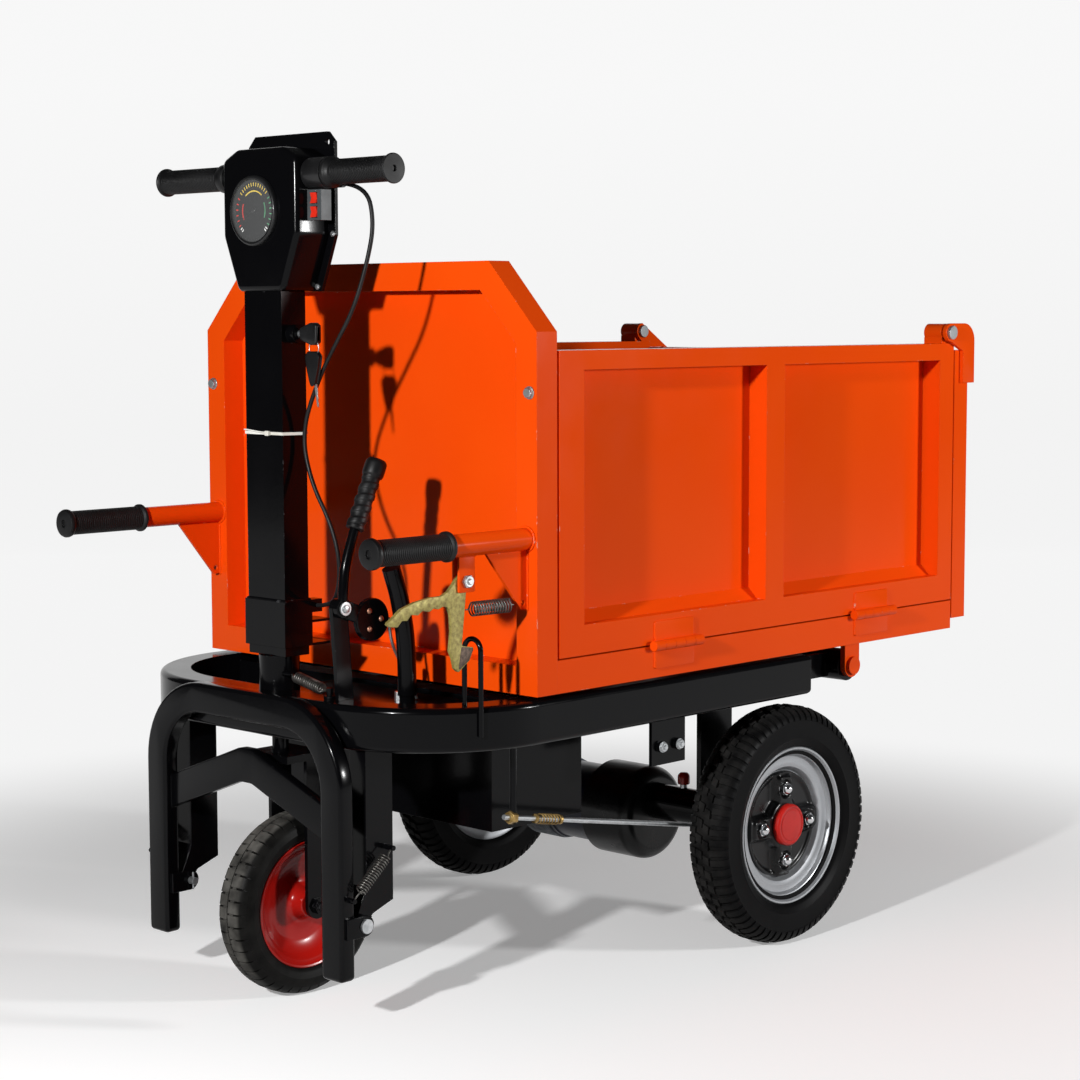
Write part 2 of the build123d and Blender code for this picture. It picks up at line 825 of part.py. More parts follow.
with BuildPart() as gear_case:
    rod("Y", (axle_x, gear_z), gear_case_from, gear_case_to, gear_case_r)
    fillet(gear_case.edges().filter_by(GeomType.CIRCLE).group_by(Axis.Y)[0], gear_case_round)
    rod("Y", (axle_x, tyre_r), gear_case_from, gear_case_to, beam_r, Mode.SUBTRACT)
save(gear_case, "gear_case")
with BuildPart() as drive_motor:
    with BuildSketch(Plane(origin=(axle_x, gear_case_to, gear_z), x_dir=(1, 0, 0), z_dir=(0, 1, 0))):
        Circle(motor_r)
        with PolarLocations(motor_r, motor_fins):
            Rectangle(2 * motor_fin, motor_fin)
    extrude(amount=motor_length)
    rod("Y", (axle_x, tyre_r), gear_case_to, gear_case_to + motor_length, beam_r, Mode.SUBTRACT)
save(drive_motor, "drive_motor")

# Brake rod from a hanger under the rim to the right drum, with a nut and a spring round it
rod_start = Vector(brake_rod_x, brake_rod_y, brake_rod_z)
rod_end = Vector(rod_end_x, -drum_mid, tyre_r)
rod_way = (rod_end - rod_start).normalized()
hanger_at = rod_start + rod_way * ((hanger_rod_x - brake_rod_x) / rod_way.X)
with BuildPart() as brake_rod:
    with BuildSketch(Plane(origin=rod_start, z_dir=rod_way)):
        Circle(brake_rod_r)
    extrude(amount=(rod_end - rod_start).length - brake_rod_r / 4)
    with BuildSketch(Plane(origin=rod_start + rod_way * rod_nut, z_dir=rod_way)):
        RegularPolygon(rod_nut_r, 6)
    extrude(amount=rod_nut)
    for distance in (rod_spring_from - rod_nut / 2, rod_spring_from + rod_spring_length):
        with BuildSketch(Plane(origin=rod_start + rod_way * distance, z_dir=rod_way)):
            Circle(rod_nut_r)
        extrude(amount=rod_nut / 2)
    rod("Z", (hanger_at.X, hanger_at.Y), hanger_at.Z, rim_bottom, brake_rod_r)
save(brake_rod, "brake_rod")
coil_margin = rod_coil[1] + hook_gap
rod_spring = coil(
    "rod_spring",
    rod_start + rod_way * (rod_spring_from + coil_margin),
    rod_start + rod_way * (rod_spring_from + rod_spring_length - coil_margin),
    rod_coil, hooked=False)
save(rod_spring, "rod_spring")


def tyre(x, y, side, radius, width, bead_r, bead_half, flange_r):
    """Tyre turned about the axle: crowned tread, round sidewalls and a flat seat on the rim."""
    shoulder_half = width / 2 - tyre_shoulder_in
    middle_r = (flange_r + radius) / 2
    edge_r = flange_r + tyre_rise
    with BuildPart() as turned:
        with BuildSketch(wheel_plane(x, y, radius, side)):
            with BuildLine():
                Polyline((-bead_half, edge_r), (-bead_half, bead_r), (bead_half, bead_r), (bead_half, edge_r))
                ThreePointArc((bead_half, edge_r), (width / 2, middle_r), (shoulder_half, radius - tyre_shoulder))
                ThreePointArc((shoulder_half, radius - tyre_shoulder), (0, radius),
                              (-shoulder_half, radius - tyre_shoulder))
                ThreePointArc((-shoulder_half, radius - tyre_shoulder), (-width / 2, middle_r), (-bead_half, edge_r))
            make_face()
        revolve(axis=Axis((x, y, radius), (0, 1, 0)))
    return turned


# Drive wheels: tyre, stepped rim, hub with four arms, dome nuts and a round cap
seat_half = rim_flange_half - rim_lip
barrel_r = rim_seat_r - rim_wall
for side, word in ((1, "left"), (-1, "right")):
    wheel_y = side * track_half
    save(tyre(axle_x, wheel_y, side, tyre_r, tyre_width, rim_seat_r, seat_half, rim_flange_r), f"drive_tyre_{word}")
    with BuildPart() as drive_rim:
        with BuildSketch(wheel_plane(axle_x, wheel_y, tyre_r, side)):
            outline([
                (rim_flange_half, rim_flange_r),
                (seat_half, rim_flange_r),
                (seat_half, rim_seat_r),
                (-seat_half, rim_seat_r),
                (-seat_half, rim_flange_r),
                (-rim_flange_half, rim_flange_r),
                (-rim_flange_half, barrel_r),
                (rim_step_out - rim_wall, barrel_r),
                (rim_step_out - rim_wall, rim_step_r + rim_wall),
                (rim_disc_out - rim_wall, rim_step_r + rim_wall),
                (rim_disc_out - rim_wall, rim_bore_r),
                (rim_disc_out, rim_bore_r),
                (rim_disc_out, rim_step_r),
                (rim_step_out, rim_step_r),
                (rim_step_out, barrel_r),
                (rim_flange_half, barrel_r),
            ])
        revolve(axis=Axis((axle_x, wheel_y, tyre_r), (0, 1, 0)))
    save(drive_rim, f"drive_rim_{word}")
    hub_back = side * (track_half + rim_disc_out)
    face = Plane(origin=(axle_x, hub_back, tyre_r), x_dir=(1, 0, 0), z_dir=(0, side, 0))
    with BuildPart() as drive_hub:
        with BuildSketch(face):
            Circle(hub_disc_r)
            with PolarLocations(nut_circle_r / 2, 4):
                Rectangle(nut_circle_r, hub_arm)
            with PolarLocations(nut_circle_r, 4):
                Circle(hub_arm / 2)
        extrude(amount=hub_face)
        rod("Y", (axle_x, tyre_r), *span(side, track_half - rim_flange_half, track_half + rim_disc_out),
            rim_bore_r - snug)
        rod("Y", (axle_x, tyre_r), *span(side, track_half - rim_flange_half, track_half + stub_out + air),
            axle_r + running, Mode.SUBTRACT)
    save(drive_hub, f"drive_hub_{word}")
    with BuildPart() as hub_nuts:
        with BuildSketch(face.offset(hub_face)):
            with PolarLocations(nut_circle_r, 4):
                RegularPolygon(nut_r, 6)
        extrude(amount=nut_height / 2)
        with BuildSketch(face.offset(hub_face + nut_height / 2)):
            with PolarLocations(nut_circle_r, 4):
                Circle(nut_dome_r)
        extrude(amount=nut_height / 2)
    save(hub_nuts, f"hub_nuts_{word}")
    with BuildPart() as hub_cap:
        with BuildSketch(face.offset(hub_face)):
            Circle(cap_r)
        extrude(amount=cap_height)
        fillet(hub_cap.edges().group_by(Axis.Y)[-1 if side > 0 else 0], cap_round)
    save(hub_cap, f"hub_cap_{word}")

# Guide wheel under the column
guide_seat_half = guide_rim_half - rim_lip
guide_barrel_r = guide_seat_r - rim_wall
save(tyre(guide_x, 0, 1, guide_r, guide_width, guide_seat_r, guide_seat_half, guide_rim_r), "guide_tyre")
with BuildPart() as guide_rim:
    with BuildSketch(wheel_plane(guide_x, 0, guide_r, 1)):
        outline([
            (guide_rim_half, guide_rim_r),
            (guide_seat_half, guide_rim_r),
            (guide_seat_half, guide_seat_r),
            (-guide_seat_half, guide_seat_r),
            (-guide_seat_half, guide_rim_r),
            (-guide_rim_half, guide_rim_r),
            (-guide_rim_half, guide_barrel_r),
            (-guide_disc, guide_dish_r),
            (-guide_disc, guide_boss_r),
            (-guide_boss_half, guide_boss_r),
            (-guide_boss_half, guide_axle_r + running),
            (guide_boss_half, guide_axle_r + running),
            (guide_boss_half, guide_boss_r),
            (guide_disc, guide_boss_r),
            (guide_disc, guide_dish_r),
            (guide_rim_half, guide_barrel_r),
        ])
    revolve(axis=Axis((guide_x, 0, guide_r), (0, 1, 0)))
save(guide_rim, "guide_rim")

# Fork: steerer, crown plate, two blades and the axle with its nuts
blade_out = blade_in + blade_plate
with BuildPart() as fork:
    block(steer_x - crown_front, guide_x + blade_width / 2, -blade_out, blade_out, crown_top - crown_plate, crown_top)
    for side in (1, -1):
        low_y, high_y = span(side, blade_in, blade_out)
        with BuildSketch(facing_y(high_y)):
            with Locations((guide_x, (guide_r + crown_top - crown_plate) / 2)):
                Rectangle(blade_width, crown_top - crown_plate - guide_r)
            with Locations((guide_x, guide_r)):
                Circle(blade_width / 2)
        extrude(amount=blade_plate)
        with BuildSketch(Plane(origin=(guide_x, side * blade_out, guide_r), x_dir=(1, 0, 0), z_dir=(0, side, 0))):
            RegularPolygon(axle_nut_r, 6)
        extrude(amount=axle_nut_width)
    rod("Y", (guide_x, guide_r), -blade_out - axle_nut, blade_out + axle_nut, guide_axle_r)
    rod("Z", (steer_x, 0), crown_top - crown_plate, column_foot + steerer_reach, steerer_r)
save(fork, "fork")

# Steering column with its base sleeve, lugs, cable socket and lock barrel
half_width = column_width / 2
half_depth = column_depth / 2
sleeve_bottom = column_foot + sleeve_from
sleeve_top = sleeve_bottom + sleeve_height
sleeve_back = steer_x + half_depth + sleeve_wall
sleeve_side = half_width + sleeve_wall
lock_face = -half_width - lock_length
with BuildPart() as steering_column:
    block(steer_x - half_depth, steer_x + half_depth, -half_width, half_width, column_foot, head_bottom)
    block(steer_x - half_depth - sleeve_wall, sleeve_back, -sleeve_side, sleeve_side, sleeve_bottom, sleeve_top)
    for z in (sleeve_bottom, sleeve_bottom + sleeve_height / 2):
        block(sleeve_back, sleeve_back + lug_reach, -sleeve_side, lug_inner, z, z + sleeve_wall)
    block(sleeve_back, sleeve_back + socket_size, -sleeve_side, socket_size - sleeve_side,
          sleeve_top - socket_size, sleeve_top)
    rod("Y", (lock_x, lock_z), lock_face, -half_width, lock_r)
    block(steer_x - half_depth + column_wall, steer_x + half_depth - column_wall, column_wall - half_width,
          half_width - column_wall, column_foot + foot_plate, head_bottom, Mode.SUBTRACT)
    rod("Z", (steer_x, 0), column_foot, column_foot + foot_plate, steerer_r + snug, Mode.SUBTRACT)
    rod("Y", (lock_x, lock_z), lock_face, lock_face + key_depth, key_slot_r + running, Mode.SUBTRACT)
save(steering_column, "steering_column")
with BuildPart() as key:
    rod("Y", (lock_x, lock_z), lock_face - key_neck, lock_face + key_depth - air, key_slot_r)
    key_tip = lock_face - key_neck - key_length
    with BuildSketch(facing_x(lock_x - key_plate / 2)):
        with Locations((key_tip + key_length / 2, lock_z)):
            RectangleRounded(key_length, key_width, key_round)
        with Locations((key_tip + key_round, lock_z)):
            Circle(key_hole_r, mode=Mode.SUBTRACT)
    extrude(amount=key_plate)
save(key, "key")

# Steering head: cover on top of the column, back plate, gauge and switch bracket
with BuildPart() as head_cover:
    with BuildSketch(facing_x(head_front)):
        outline([
            (head_shoulder - head_half, head_top),
            (head_half - head_shoulder, head_top),
            (head_half, head_top - head_shoulder_drop),
            (head_half, head_waist),
            (head_foot_half, head_bottom),
            (-head_foot_half, head_bottom),
            (-head_half, head_waist),
            (-head_half, head_top - head_shoulder_drop),
        ])
    extrude(amount=head_depth)
    fillet(head_cover.faces().sort_by(Axis.X)[0].edges(), head_round)
    rod("Y", (bar_x, bar_z), -head_half, head_half, bar_r + snug, Mode.SUBTRACT)
save(head_cover, "head_cover")
plate_half = head_half + back_plate_over
plate_top = head_top + back_plate_rise
with BuildPart() as back_plate_piece:
    with BuildSketch(facing_x(head_back)):
        outline([
            (-plate_half + head_shoulder_drop, plate_top),
            (plate_half - head_shoulder_drop, plate_top),
            (plate_half, plate_top - head_shoulder_drop),
            (plate_half, head_waist),
            (head_foot_half + back_plate_over, head_bottom),
            (-head_foot_half - back_plate_over, head_bottom),
            (-plate_half, head_waist),
            (-plate_half, plate_top - head_shoulder_drop),
        ])
        with Locations((back_plate_hole_in - plate_half, plate_top - back_plate_hole_in)):
            Circle(back_plate_hole_r, mode=Mode.SUBTRACT)
    extrude(amount=back_plate)
save(back_plate_piece, "back_plate")
with BuildPart() as gauge_ring:
    rod("X", (gauge_y, gauge_z), head_front - gauge_depth, head_front, gauge_r)
    rod("X", (gauge_y, gauge_z), head_front - gauge_depth, head_front, gauge_r - gauge_bezel, Mode.SUBTRACT)
save(gauge_ring, "gauge_bezel")
with BuildPart() as gauge_dial:
    rod("X", (gauge_y, gauge_z), head_front - dial_plate, head_front, gauge_r - gauge_bezel - snug)
save(gauge_dial, "gauge_dial")
switch_front = bar_x - switch_depth / 2
switch_mid = -head_half - switch_width / 2
rocker_x = switch_front + rocker_set
rocker_places = (("upper", switch_z + rocker_pitch / 2), ("lower", switch_z - rocker_pitch / 2))
pin_half = rocker_half_width + rocker_pin_reach
with BuildPart() as switch_bracket:
    block(switch_front, switch_front + switch_depth, -head_half - switch_width, -head_half,
          switch_z - switch_height / 2, switch_z + switch_height / 2)
    for word, z in rocker_places:
        block(switch_front, rocker_x + rocker_back_half + rocker_play, switch_mid - rocker_half_width - air,
              switch_mid + rocker_half_width + air, z - rocker_half_height - rocker_play,
              z + rocker_half_height + rocker_play, Mode.SUBTRACT)
        rod("Y", (rocker_x, z), switch_mid - pin_half - air, switch_mid + pin_half + air, rocker_pin_r + running,
            Mode.SUBTRACT)
save(switch_bracket, "switch_bracket")
for word, z in rocker_places:
    with BuildPart() as rocker:
        with BuildSketch(facing_y(switch_mid + rocker_half_width)):
            outline([
                (switch_front - rocker_out, z + rocker_half_height),
                (switch_front - rocker_out + rocker_dip, z),
                (switch_front - rocker_out, z - rocker_half_height),
                (rocker_x + rocker_back, z - rocker_back_half),
                (rocker_x + rocker_back, z + rocker_back_half),
            ])
        extrude(amount=2 * rocker_half_width)
        rod("Y", (rocker_x, z), switch_mid - pin_half, switch_mid + pin_half, rocker_pin_r)
    save(rocker, f"rocker_{word}")

# Handlebar with a fixed grip, and a twist grip that turns on the bar beside its case
with BuildPart() as handlebar:
    rod("Y", (bar_x, bar_z), -bar_half, bar_half, bar_r)
save(handlebar, "handlebar")
with BuildPart() as bar_grip:
    rod("Y", (bar_x, bar_z), bar_half - grip_length, bar_half + grip_cap, grip_r)
    rod("Y", (bar_x, bar_z), bar_half - grip_length, bar_half - grip_length + grip_cap, grip_flange_r)
    rod("Y", (bar_x, bar_z), bar_half - grip_length, bar_half, bar_r + snug, Mode.SUBTRACT)
save(bar_grip, "bar_grip")
nozzle_at = (bar_x + nozzle_x, bar_z + nozzle_z)
nozzle_end = case_to - nozzle_r
with BuildPart() as throttle_case:
    rod("Y", (bar_x, bar_z), case_from, case_to, throttle_case_r)
    rod("Y", nozzle_at, nozzle_end + nozzle_length, nozzle_end, nozzle_r)
    rod("Y", (bar_x, bar_z), case_from, case_to, bar_r + snug, Mode.SUBTRACT)
save(throttle_case, "throttle_case")
grip_in = case_to - throttle_gap
grip_out = -bar_half - grip_cap
with BuildPart() as throttle_grip:
    rod("Y", (bar_x, bar_z), grip_in, grip_out, grip_r)
    rod("Y", (bar_x, bar_z), grip_out, grip_out + grip_cap, grip_flange_r)
    rod("Y", (bar_x, bar_z), grip_in, -bar_half - air, bar_r + running, Mode.SUBTRACT)
save(throttle_grip, "throttle_grip")
cable_start = (nozzle_at[0], nozzle_end - 2 * hook_gap, nozzle_at[1])
cable_end = (cable_route[-1][0], -sleeve_side - 2 * hook_gap, sleeve_top - socket_size / 2)
throttle_cable = cord("throttle_cable", (cable_start, *cable_route, cable_end), cable_r)
save(throttle_cable, "throttle_cable")

# Cargo box: headboard, floor, side walls with their hinges, and tailgate
with BuildPart() as headboard:
    board = [
        (-half_box, box_bottom),
        (half_box, box_bottom),
        (half_box, shoulder_z),
        (half_box - headboard_chamfer, headboard_top),
        (headboard_chamfer - half_box, headboard_top),
        (-half_box, shoulder_z),
    ]
    with BuildSketch(facing_x(headboard_x)):
        outline(board)
    extrude(amount=headboard_tube)
    with BuildSketch(facing_x(headboard_x)):
        outline(board)
        offset(amount=-headboard_tube, kind=Kind.INTERSECTION, mode=Mode.REPLACE)
    extrude(amount=headboard_tube - sheet, mode=Mode.SUBTRACT)
    for side in (1, -1):
        rod("X", (side * board_bolt_y, board_bolt_z), headboard_x, headboard_back, board_bolt_r + snug,
            Mode.SUBTRACT)
save(headboard, "headboard")
with BuildPart() as headboard_bolts:
    for side in (1, -1):
        rod("X", (side * board_bolt_y, board_bolt_z), headboard_x - board_bolt_head, headboard_x, board_bolt_head_r)
        rod("X", (side * board_bolt_y, board_bolt_z), headboard_x, headboard_back, board_bolt_r)
save(headboard_bolts, "headboard_bolts")

floor_length = side_tail - headboard_back
bay_length = (floor_length - 2 * floor_rail - joist_count * joist) / (joist_count + 1)
with BuildPart() as box_floor:
    block(headboard_back, side_tail, -half_box, half_box, box_bottom, floor_top)
    for bay in range(joist_count + 1):
        bay_x = headboard_back + floor_rail + bay * (bay_length + joist)
        block(bay_x, bay_x + bay_length, floor_rail - half_box, half_box - floor_rail, box_bottom, floor_top - sheet,
              Mode.SUBTRACT)
save(box_floor, "box_floor")

bays = (
    (side_front + front_stile, side_front + mid_stile_at - mid_stile / 2),
    (side_front + mid_stile_at + mid_stile / 2, side_tail - tail_stile),
)
bush_in = half_box - hook_side_gap + air - hang_bush_length
bush_out = bush_in + hang_bush_length
for side, word in ((1, "left"), (-1, "right")):
    with BuildPart() as drop_side:
        block(side_front, side_tail, *span(side, half_box - side_depth, half_box), side_bottom, side_top)
        for bay_from, bay_to in bays:
            block(bay_from, bay_to, *span(side, half_box - side_depth + sheet, half_box),
                  side_bottom + bottom_rail, side_top - top_rail, Mode.SUBTRACT)
        block(hang_x - hang_pad_half, hang_x + hang_pad_half, *span(side, bush_in, bush_out), side_top, hang_z)
        rod("Y", (hang_x, hang_z), *span(side, bush_in, bush_out), hang_bush_r)
        rod("Y", (hang_x, hang_z), *span(side, bush_in, bush_out), hang_pin_r + running, Mode.SUBTRACT)
    save(drop_side, f"drop_side_{word}")
hinge_z = floor_top + side_lift / 2
with BuildPart() as side_hinges:
    for side in (1, -1):
        for place in side_hinge_places:
            hinge_x = side_front + place
            block(hinge_x - side_hinge_length / 2, hinge_x + side_hinge_length / 2,
                  *span(side, half_box, half_box + side_hinge_leaf),
                  hinge_z - side_hinge_leaf_height, hinge_z + side_hinge_leaf_height)
            rod("X", (side * (half_box + side_hinge_r), hinge_z), hinge_x - side_hinge_length / 2,
                hinge_x + side_hinge_length / 2, side_hinge_r)
save(side_hinges, "side_hinges")

tailgate_bottom = floor_top - tailgate_drop
tailgate_top = side_top - tailgate_top_gap
with BuildPart() as tailgate:
    block(tailgate_in, tailgate_out, -tailgate_half, tailgate_half, tailgate_bottom, tailgate_top)
    block(tailgate_in + sheet, tailgate_out, tailgate_frame - tailgate_half, tailgate_half - tailgate_frame,
          tailgate_bottom + tailgate_frame, tailgate_top - tailgate_frame, Mode.SUBTRACT)
save(tailgate, "tailgate")
hook_right = -tailgate_half - hook_plate
hook_left = bush_in - air - hook_plate
hook_tail = tailgate_out + hook_reach
with BuildPart() as tailgate_hooks:
    for low_y in (hook_right, hook_left):
        with BuildSketch(facing_y(low_y + hook_plate)):
            with Locations((hang_x, hang_z)):
                Circle(hook_half)
            outline([
                (hang_x, hang_z + hook_half),
                (hook_tail, hang_z + hook_half),
                (hook_tail, hang_z - hook_length),
                (hook_tail - hook_leg, hang_z - hook_length),
                (hook_tail - hook_leg, hang_z - hook_half),
                (hang_x, hang_z - hook_half),
            ])
        extrude(amount=hook_plate)
        pin_end = low_y + hook_plate + hang_bush_length + hang_pin_end
        rod("Y", (hang_x, hang_z), low_y, pin_end, hang_pin_r)
        rod("Y", (hang_x, hang_z), low_y - hang_pin_head, low_y, hang_pin_head_r)
    block(tailgate_in, tailgate_out, -tailgate_half, tailgate_half, tailgate_bottom, tailgate_top, Mode.SUBTRACT)
save(tailgate_hooks, "tailgate_hooks")

# Push handles: round tubes with a gusset, the right one with the latch's ears and bolt
handle_end = headboard_x - handle_length
ear_in = latch_plate / 2 + air
for side, word in ((1, "left"), (-1, "right")):
    with BuildPart() as push_handle:
        low_y, high_y = span(side, handle_y - gusset_plate / 2, handle_y + gusset_plate / 2)
        with BuildSketch(facing_y(high_y)):
            outline([
                (headboard_x - gusset_length, handle_z),
                (headboard_x, handle_z),
                (headboard_x, handle_z - gusset_height),
                (headboard_x - gusset_toe, handle_z - gusset_height),
            ])
            with Locations((headboard_x - gusset_hole_in, handle_z - gusset_height + gusset_hole_in)):
                Circle(spring_hole_r, mode=Mode.SUBTRACT)
        extrude(amount=gusset_plate)
        rod("X", (side * handle_y, handle_z), handle_end, headboard_x, handle_r)
        if side < 0:
            for ear_y in (latch_y + ear_in + latch_ear, latch_y - ear_in):
                with BuildSketch(facing_y(ear_y)):
                    with Locations((latch_x, (latch_z + handle_z) / 2)):
                        Rectangle(2 * latch_ear_half, handle_z - latch_z)
                    with Locations((latch_x, latch_z)):
                        Circle(latch_ear_half)
                extrude(amount=latch_ear)
            bolt_end = ear_in + latch_ear
            rod("Y", (latch_x, latch_z), latch_y - bolt_end, latch_y + bolt_end, latch_pin_r)
            for end_y in (bolt_end, -bolt_end - latch_head):
                rod("Y", (latch_x, latch_z), latch_y + end_y, latch_y + end_y + latch_head, latch_head_r)
    save(push_handle, f"push_handle_{word}")
with BuildPart() as push_grips:
    for side in (1, -1):
        grip_mouth = handle_end + push_grip_length
        rod("X", (side * handle_y, handle_z), handle_end - grip_wall_end, grip_mouth, push_grip_r)
        rod("X", (side * handle_y, handle_z), grip_mouth - grip_rim, grip_mouth, push_grip_flange_r)
        rod("X", (side * handle_y, handle_z), handle_end, grip_mouth, handle_r + snug, Mode.SUBTRACT)
save(push_grips, "push_grips")

# Tip lugs under the floor, each with a pin in the pivot tube
with BuildPart() as tip_lugs:
    for side in (1, -1):
        lug_out = pivot_lug_in + lug_plate
        low_y, high_y = span(side, pivot_lug_in, lug_out)
        with BuildSketch(facing_y(high_y)):
            with Locations((pivot_x, (pivot_z + box_bottom) / 2)):
                Rectangle(lug_width, box_bottom - pivot_z)
            with Locations((pivot_x, pivot_z)):
                Circle(lug_width / 2)
        extrude(amount=lug_plate)
        rod("Y", (pivot_x, pivot_z), *span(side, pivot_tube_half - tip_pin_depth, lug_out), pivot_pin_r)
        rod("Y", (pivot_x, pivot_z), *span(side, lug_out, lug_out + tip_head), tip_head_r)
save(tip_lugs, "tip_lugs")


def latch_turn(point):
    """Point of the latch, given about its bolt, turned back from under the loop."""
    angle = radians(latch_open)
    x, z = point
    return (latch_x + x * cos(angle) + z * sin(angle), latch_z - x * sin(angle) + z * cos(angle))


# Box latch: hook with a squeeze handle, held by a spring to the gusset
with BuildPart() as latch_lever:
    with BuildSketch(facing_y(latch_y + latch_plate / 2)):
        with Locations((latch_x, latch_z)):
            Circle(latch_boss_r)
        outline([latch_turn(point) for point in latch_shank])
        with BuildLine():
            Spline(*[latch_turn(point) for point in latch_handle])
        trace(line_width=latch_handle_width)
        with Locations((latch_x, latch_z)):
            Circle(latch_pin_r + running, mode=Mode.SUBTRACT)
    extrude(amount=latch_plate)
save(latch_lever, "latch_lever")
spring_from = latch_turn(latch_spring_at)
spring_to_z = handle_z - gusset_height + gusset_toe
gusset_slope = (gusset_length - gusset_toe) / gusset_height
spring_to_x = headboard_x - gusset_toe - gusset_toe * gusset_slope
latch_spring = coil(
    "latch_spring",
    (spring_from[0] + hook_gap, latch_y, spring_from[1]),
    (spring_to_x - latch_coil[1] - hook_gap, -handle_y, spring_to_z),
    latch_coil)
save(latch_spring, "latch_spring")

# Hand brake: foot bar with the pivot, lever with grip and cable quadrant, and its cable to the deck
foot_low = brake_y - brake_bar / 2
lever_high = foot_low - air
with BuildPart() as brake_foot:
    with BuildSketch(facing_y(brake_y + brake_bar / 2)):
        outline([
            (brake_foot_x - brake_bar_width / 2, rim_top),
            (brake_foot_x + brake_bar_width / 2, rim_top),
            (brake_x + brake_eye_r, brake_z),
            (brake_x - brake_eye_r, brake_z),
        ])
        with Locations((brake_x, brake_z)):
            Circle(brake_eye_r)
    extrude(amount=brake_bar)
    pin_low = lever_high - quadrant_plate - air
    rod("Y", (brake_x, brake_z), pin_low - brake_head, brake_y, brake_pin_r)
    rod("Y", (brake_x, brake_z), pin_low - brake_head, pin_low, brake_head_r)
save(brake_foot, "brake_foot")
quadrant_x = brake_x + quadrant_offset[0]
quadrant_z = brake_z + quadrant_offset[1]
lever_line = [(brake_x + x, brake_z + z) for x, z in ((0, 0), brake_elbow, brake_grip_foot)]
grip_foot = Vector(brake_x + brake_grip_foot[0], lever_high - quadrant_plate / 2, brake_z + brake_grip_foot[1])
grip_way = Vector(brake_lean - brake_grip_foot[0], 0, brake_reach - brake_grip_foot[1]).normalized()
with BuildPart() as brake_lever:
    with BuildSketch(facing_y(lever_high)):
        with BuildLine():
            Polyline(*lever_line)
        trace(line_width=brake_arm)
        with BuildLine():
            Line((brake_x, brake_z), (quadrant_x, quadrant_z))
        trace(line_width=2 * brake_arm)
        with Locations((brake_x, brake_z)):
            Circle(brake_eye_r)
        with Locations((quadrant_x, quadrant_z)):
            Circle(quadrant_r)
        with Locations((brake_x, brake_z)):
            Circle(brake_pin_r + running, mode=Mode.SUBTRACT)
    extrude(amount=quadrant_plate)
    with BuildSketch(facing_y(lever_high - quadrant_plate)):
        with Locations((quadrant_x, quadrant_z)):
            with PolarLocations(rivet_circle_r, 3):
                Circle(rivet_r)
    extrude(amount=rivet_head)
    with BuildSketch(Plane(origin=grip_foot, z_dir=grip_way)):
        Circle(brake_grip_r)
    extrude(amount=brake_grip_length)
save(brake_lever, "brake_lever")
cord_y = lever_high - quadrant_plate / 2
cord_x = quadrant_x + quadrant_r + brake_cord_r
cord_run = brake_cord_end_x - cord_x
cord_fall = quadrant_z - bridge_top
brake_cable = cord(
    "brake_cable",
    (
        (cord_x, cord_y, quadrant_z),
        (cord_x + 0.1 * cord_run, cord_y, quadrant_z - 0.3 * cord_fall),
        (cord_x + 0.5 * cord_run, cord_y, quadrant_z - 0.6 * cord_fall),
        (brake_cord_end_x, cord_y, bridge_top + brake_cord_r),
    ),
    brake_cord_r)
save(brake_cable, "brake_cable")
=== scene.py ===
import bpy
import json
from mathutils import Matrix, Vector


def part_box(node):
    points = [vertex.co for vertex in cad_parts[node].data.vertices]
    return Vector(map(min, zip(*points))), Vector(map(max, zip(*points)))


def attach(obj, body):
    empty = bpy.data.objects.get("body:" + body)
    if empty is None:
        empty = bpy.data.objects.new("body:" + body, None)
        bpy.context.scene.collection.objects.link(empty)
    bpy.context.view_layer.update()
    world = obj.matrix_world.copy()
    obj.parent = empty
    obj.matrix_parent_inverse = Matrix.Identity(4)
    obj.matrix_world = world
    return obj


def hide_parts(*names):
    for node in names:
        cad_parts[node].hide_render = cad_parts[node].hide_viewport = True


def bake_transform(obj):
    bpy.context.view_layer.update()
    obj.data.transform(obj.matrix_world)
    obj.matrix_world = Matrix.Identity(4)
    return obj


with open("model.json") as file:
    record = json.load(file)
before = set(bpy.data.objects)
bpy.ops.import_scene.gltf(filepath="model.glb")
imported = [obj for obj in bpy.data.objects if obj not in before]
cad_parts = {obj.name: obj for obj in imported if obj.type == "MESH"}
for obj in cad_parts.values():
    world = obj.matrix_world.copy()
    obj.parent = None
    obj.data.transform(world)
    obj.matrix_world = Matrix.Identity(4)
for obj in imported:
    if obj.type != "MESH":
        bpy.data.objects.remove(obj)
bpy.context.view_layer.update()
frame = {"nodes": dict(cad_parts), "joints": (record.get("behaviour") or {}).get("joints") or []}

import json
import math

import bmesh
import bpy
from mathutils import Matrix, Vector

bl_info = {
    "name": "Stand-on wheelbarrow looks",
    "version": (1, 0, 0),
    "blender": (4, 5, 0),
    "location": "3D View > Sidebar > Wheelbarrow",
    "description": "Paint, tyres, grips, gauge and small hardware of a stand-on electric wheelbarrow",
    "category": "Object",
}

MM = 0.001
FLAT = 1        # marks a face that is shaded flat, until its piece is made
HERE = Matrix.Identity(4)
SIDES = (("left", 1), ("right", -1))
JOINTS = {joint["name"]: joint for joint in frame["joints"]}
finishes = {}


# Colours, nodes and finishes

def linear(colour):
    """Linear red, green, blue and alpha of an sRGB hex colour."""
    parts = [int(colour[i:i + 2], 16) / 255 for i in (1, 3, 5)]
    return [c / 12.92 if c <= 0.04045 else ((c + 0.055) / 1.055) ** 2.4 for c in parts] + [1.0]


def per_mm(size):
    """Texture scale of a pattern whose marks are this many millimetres across."""
    return 1000.0 / size


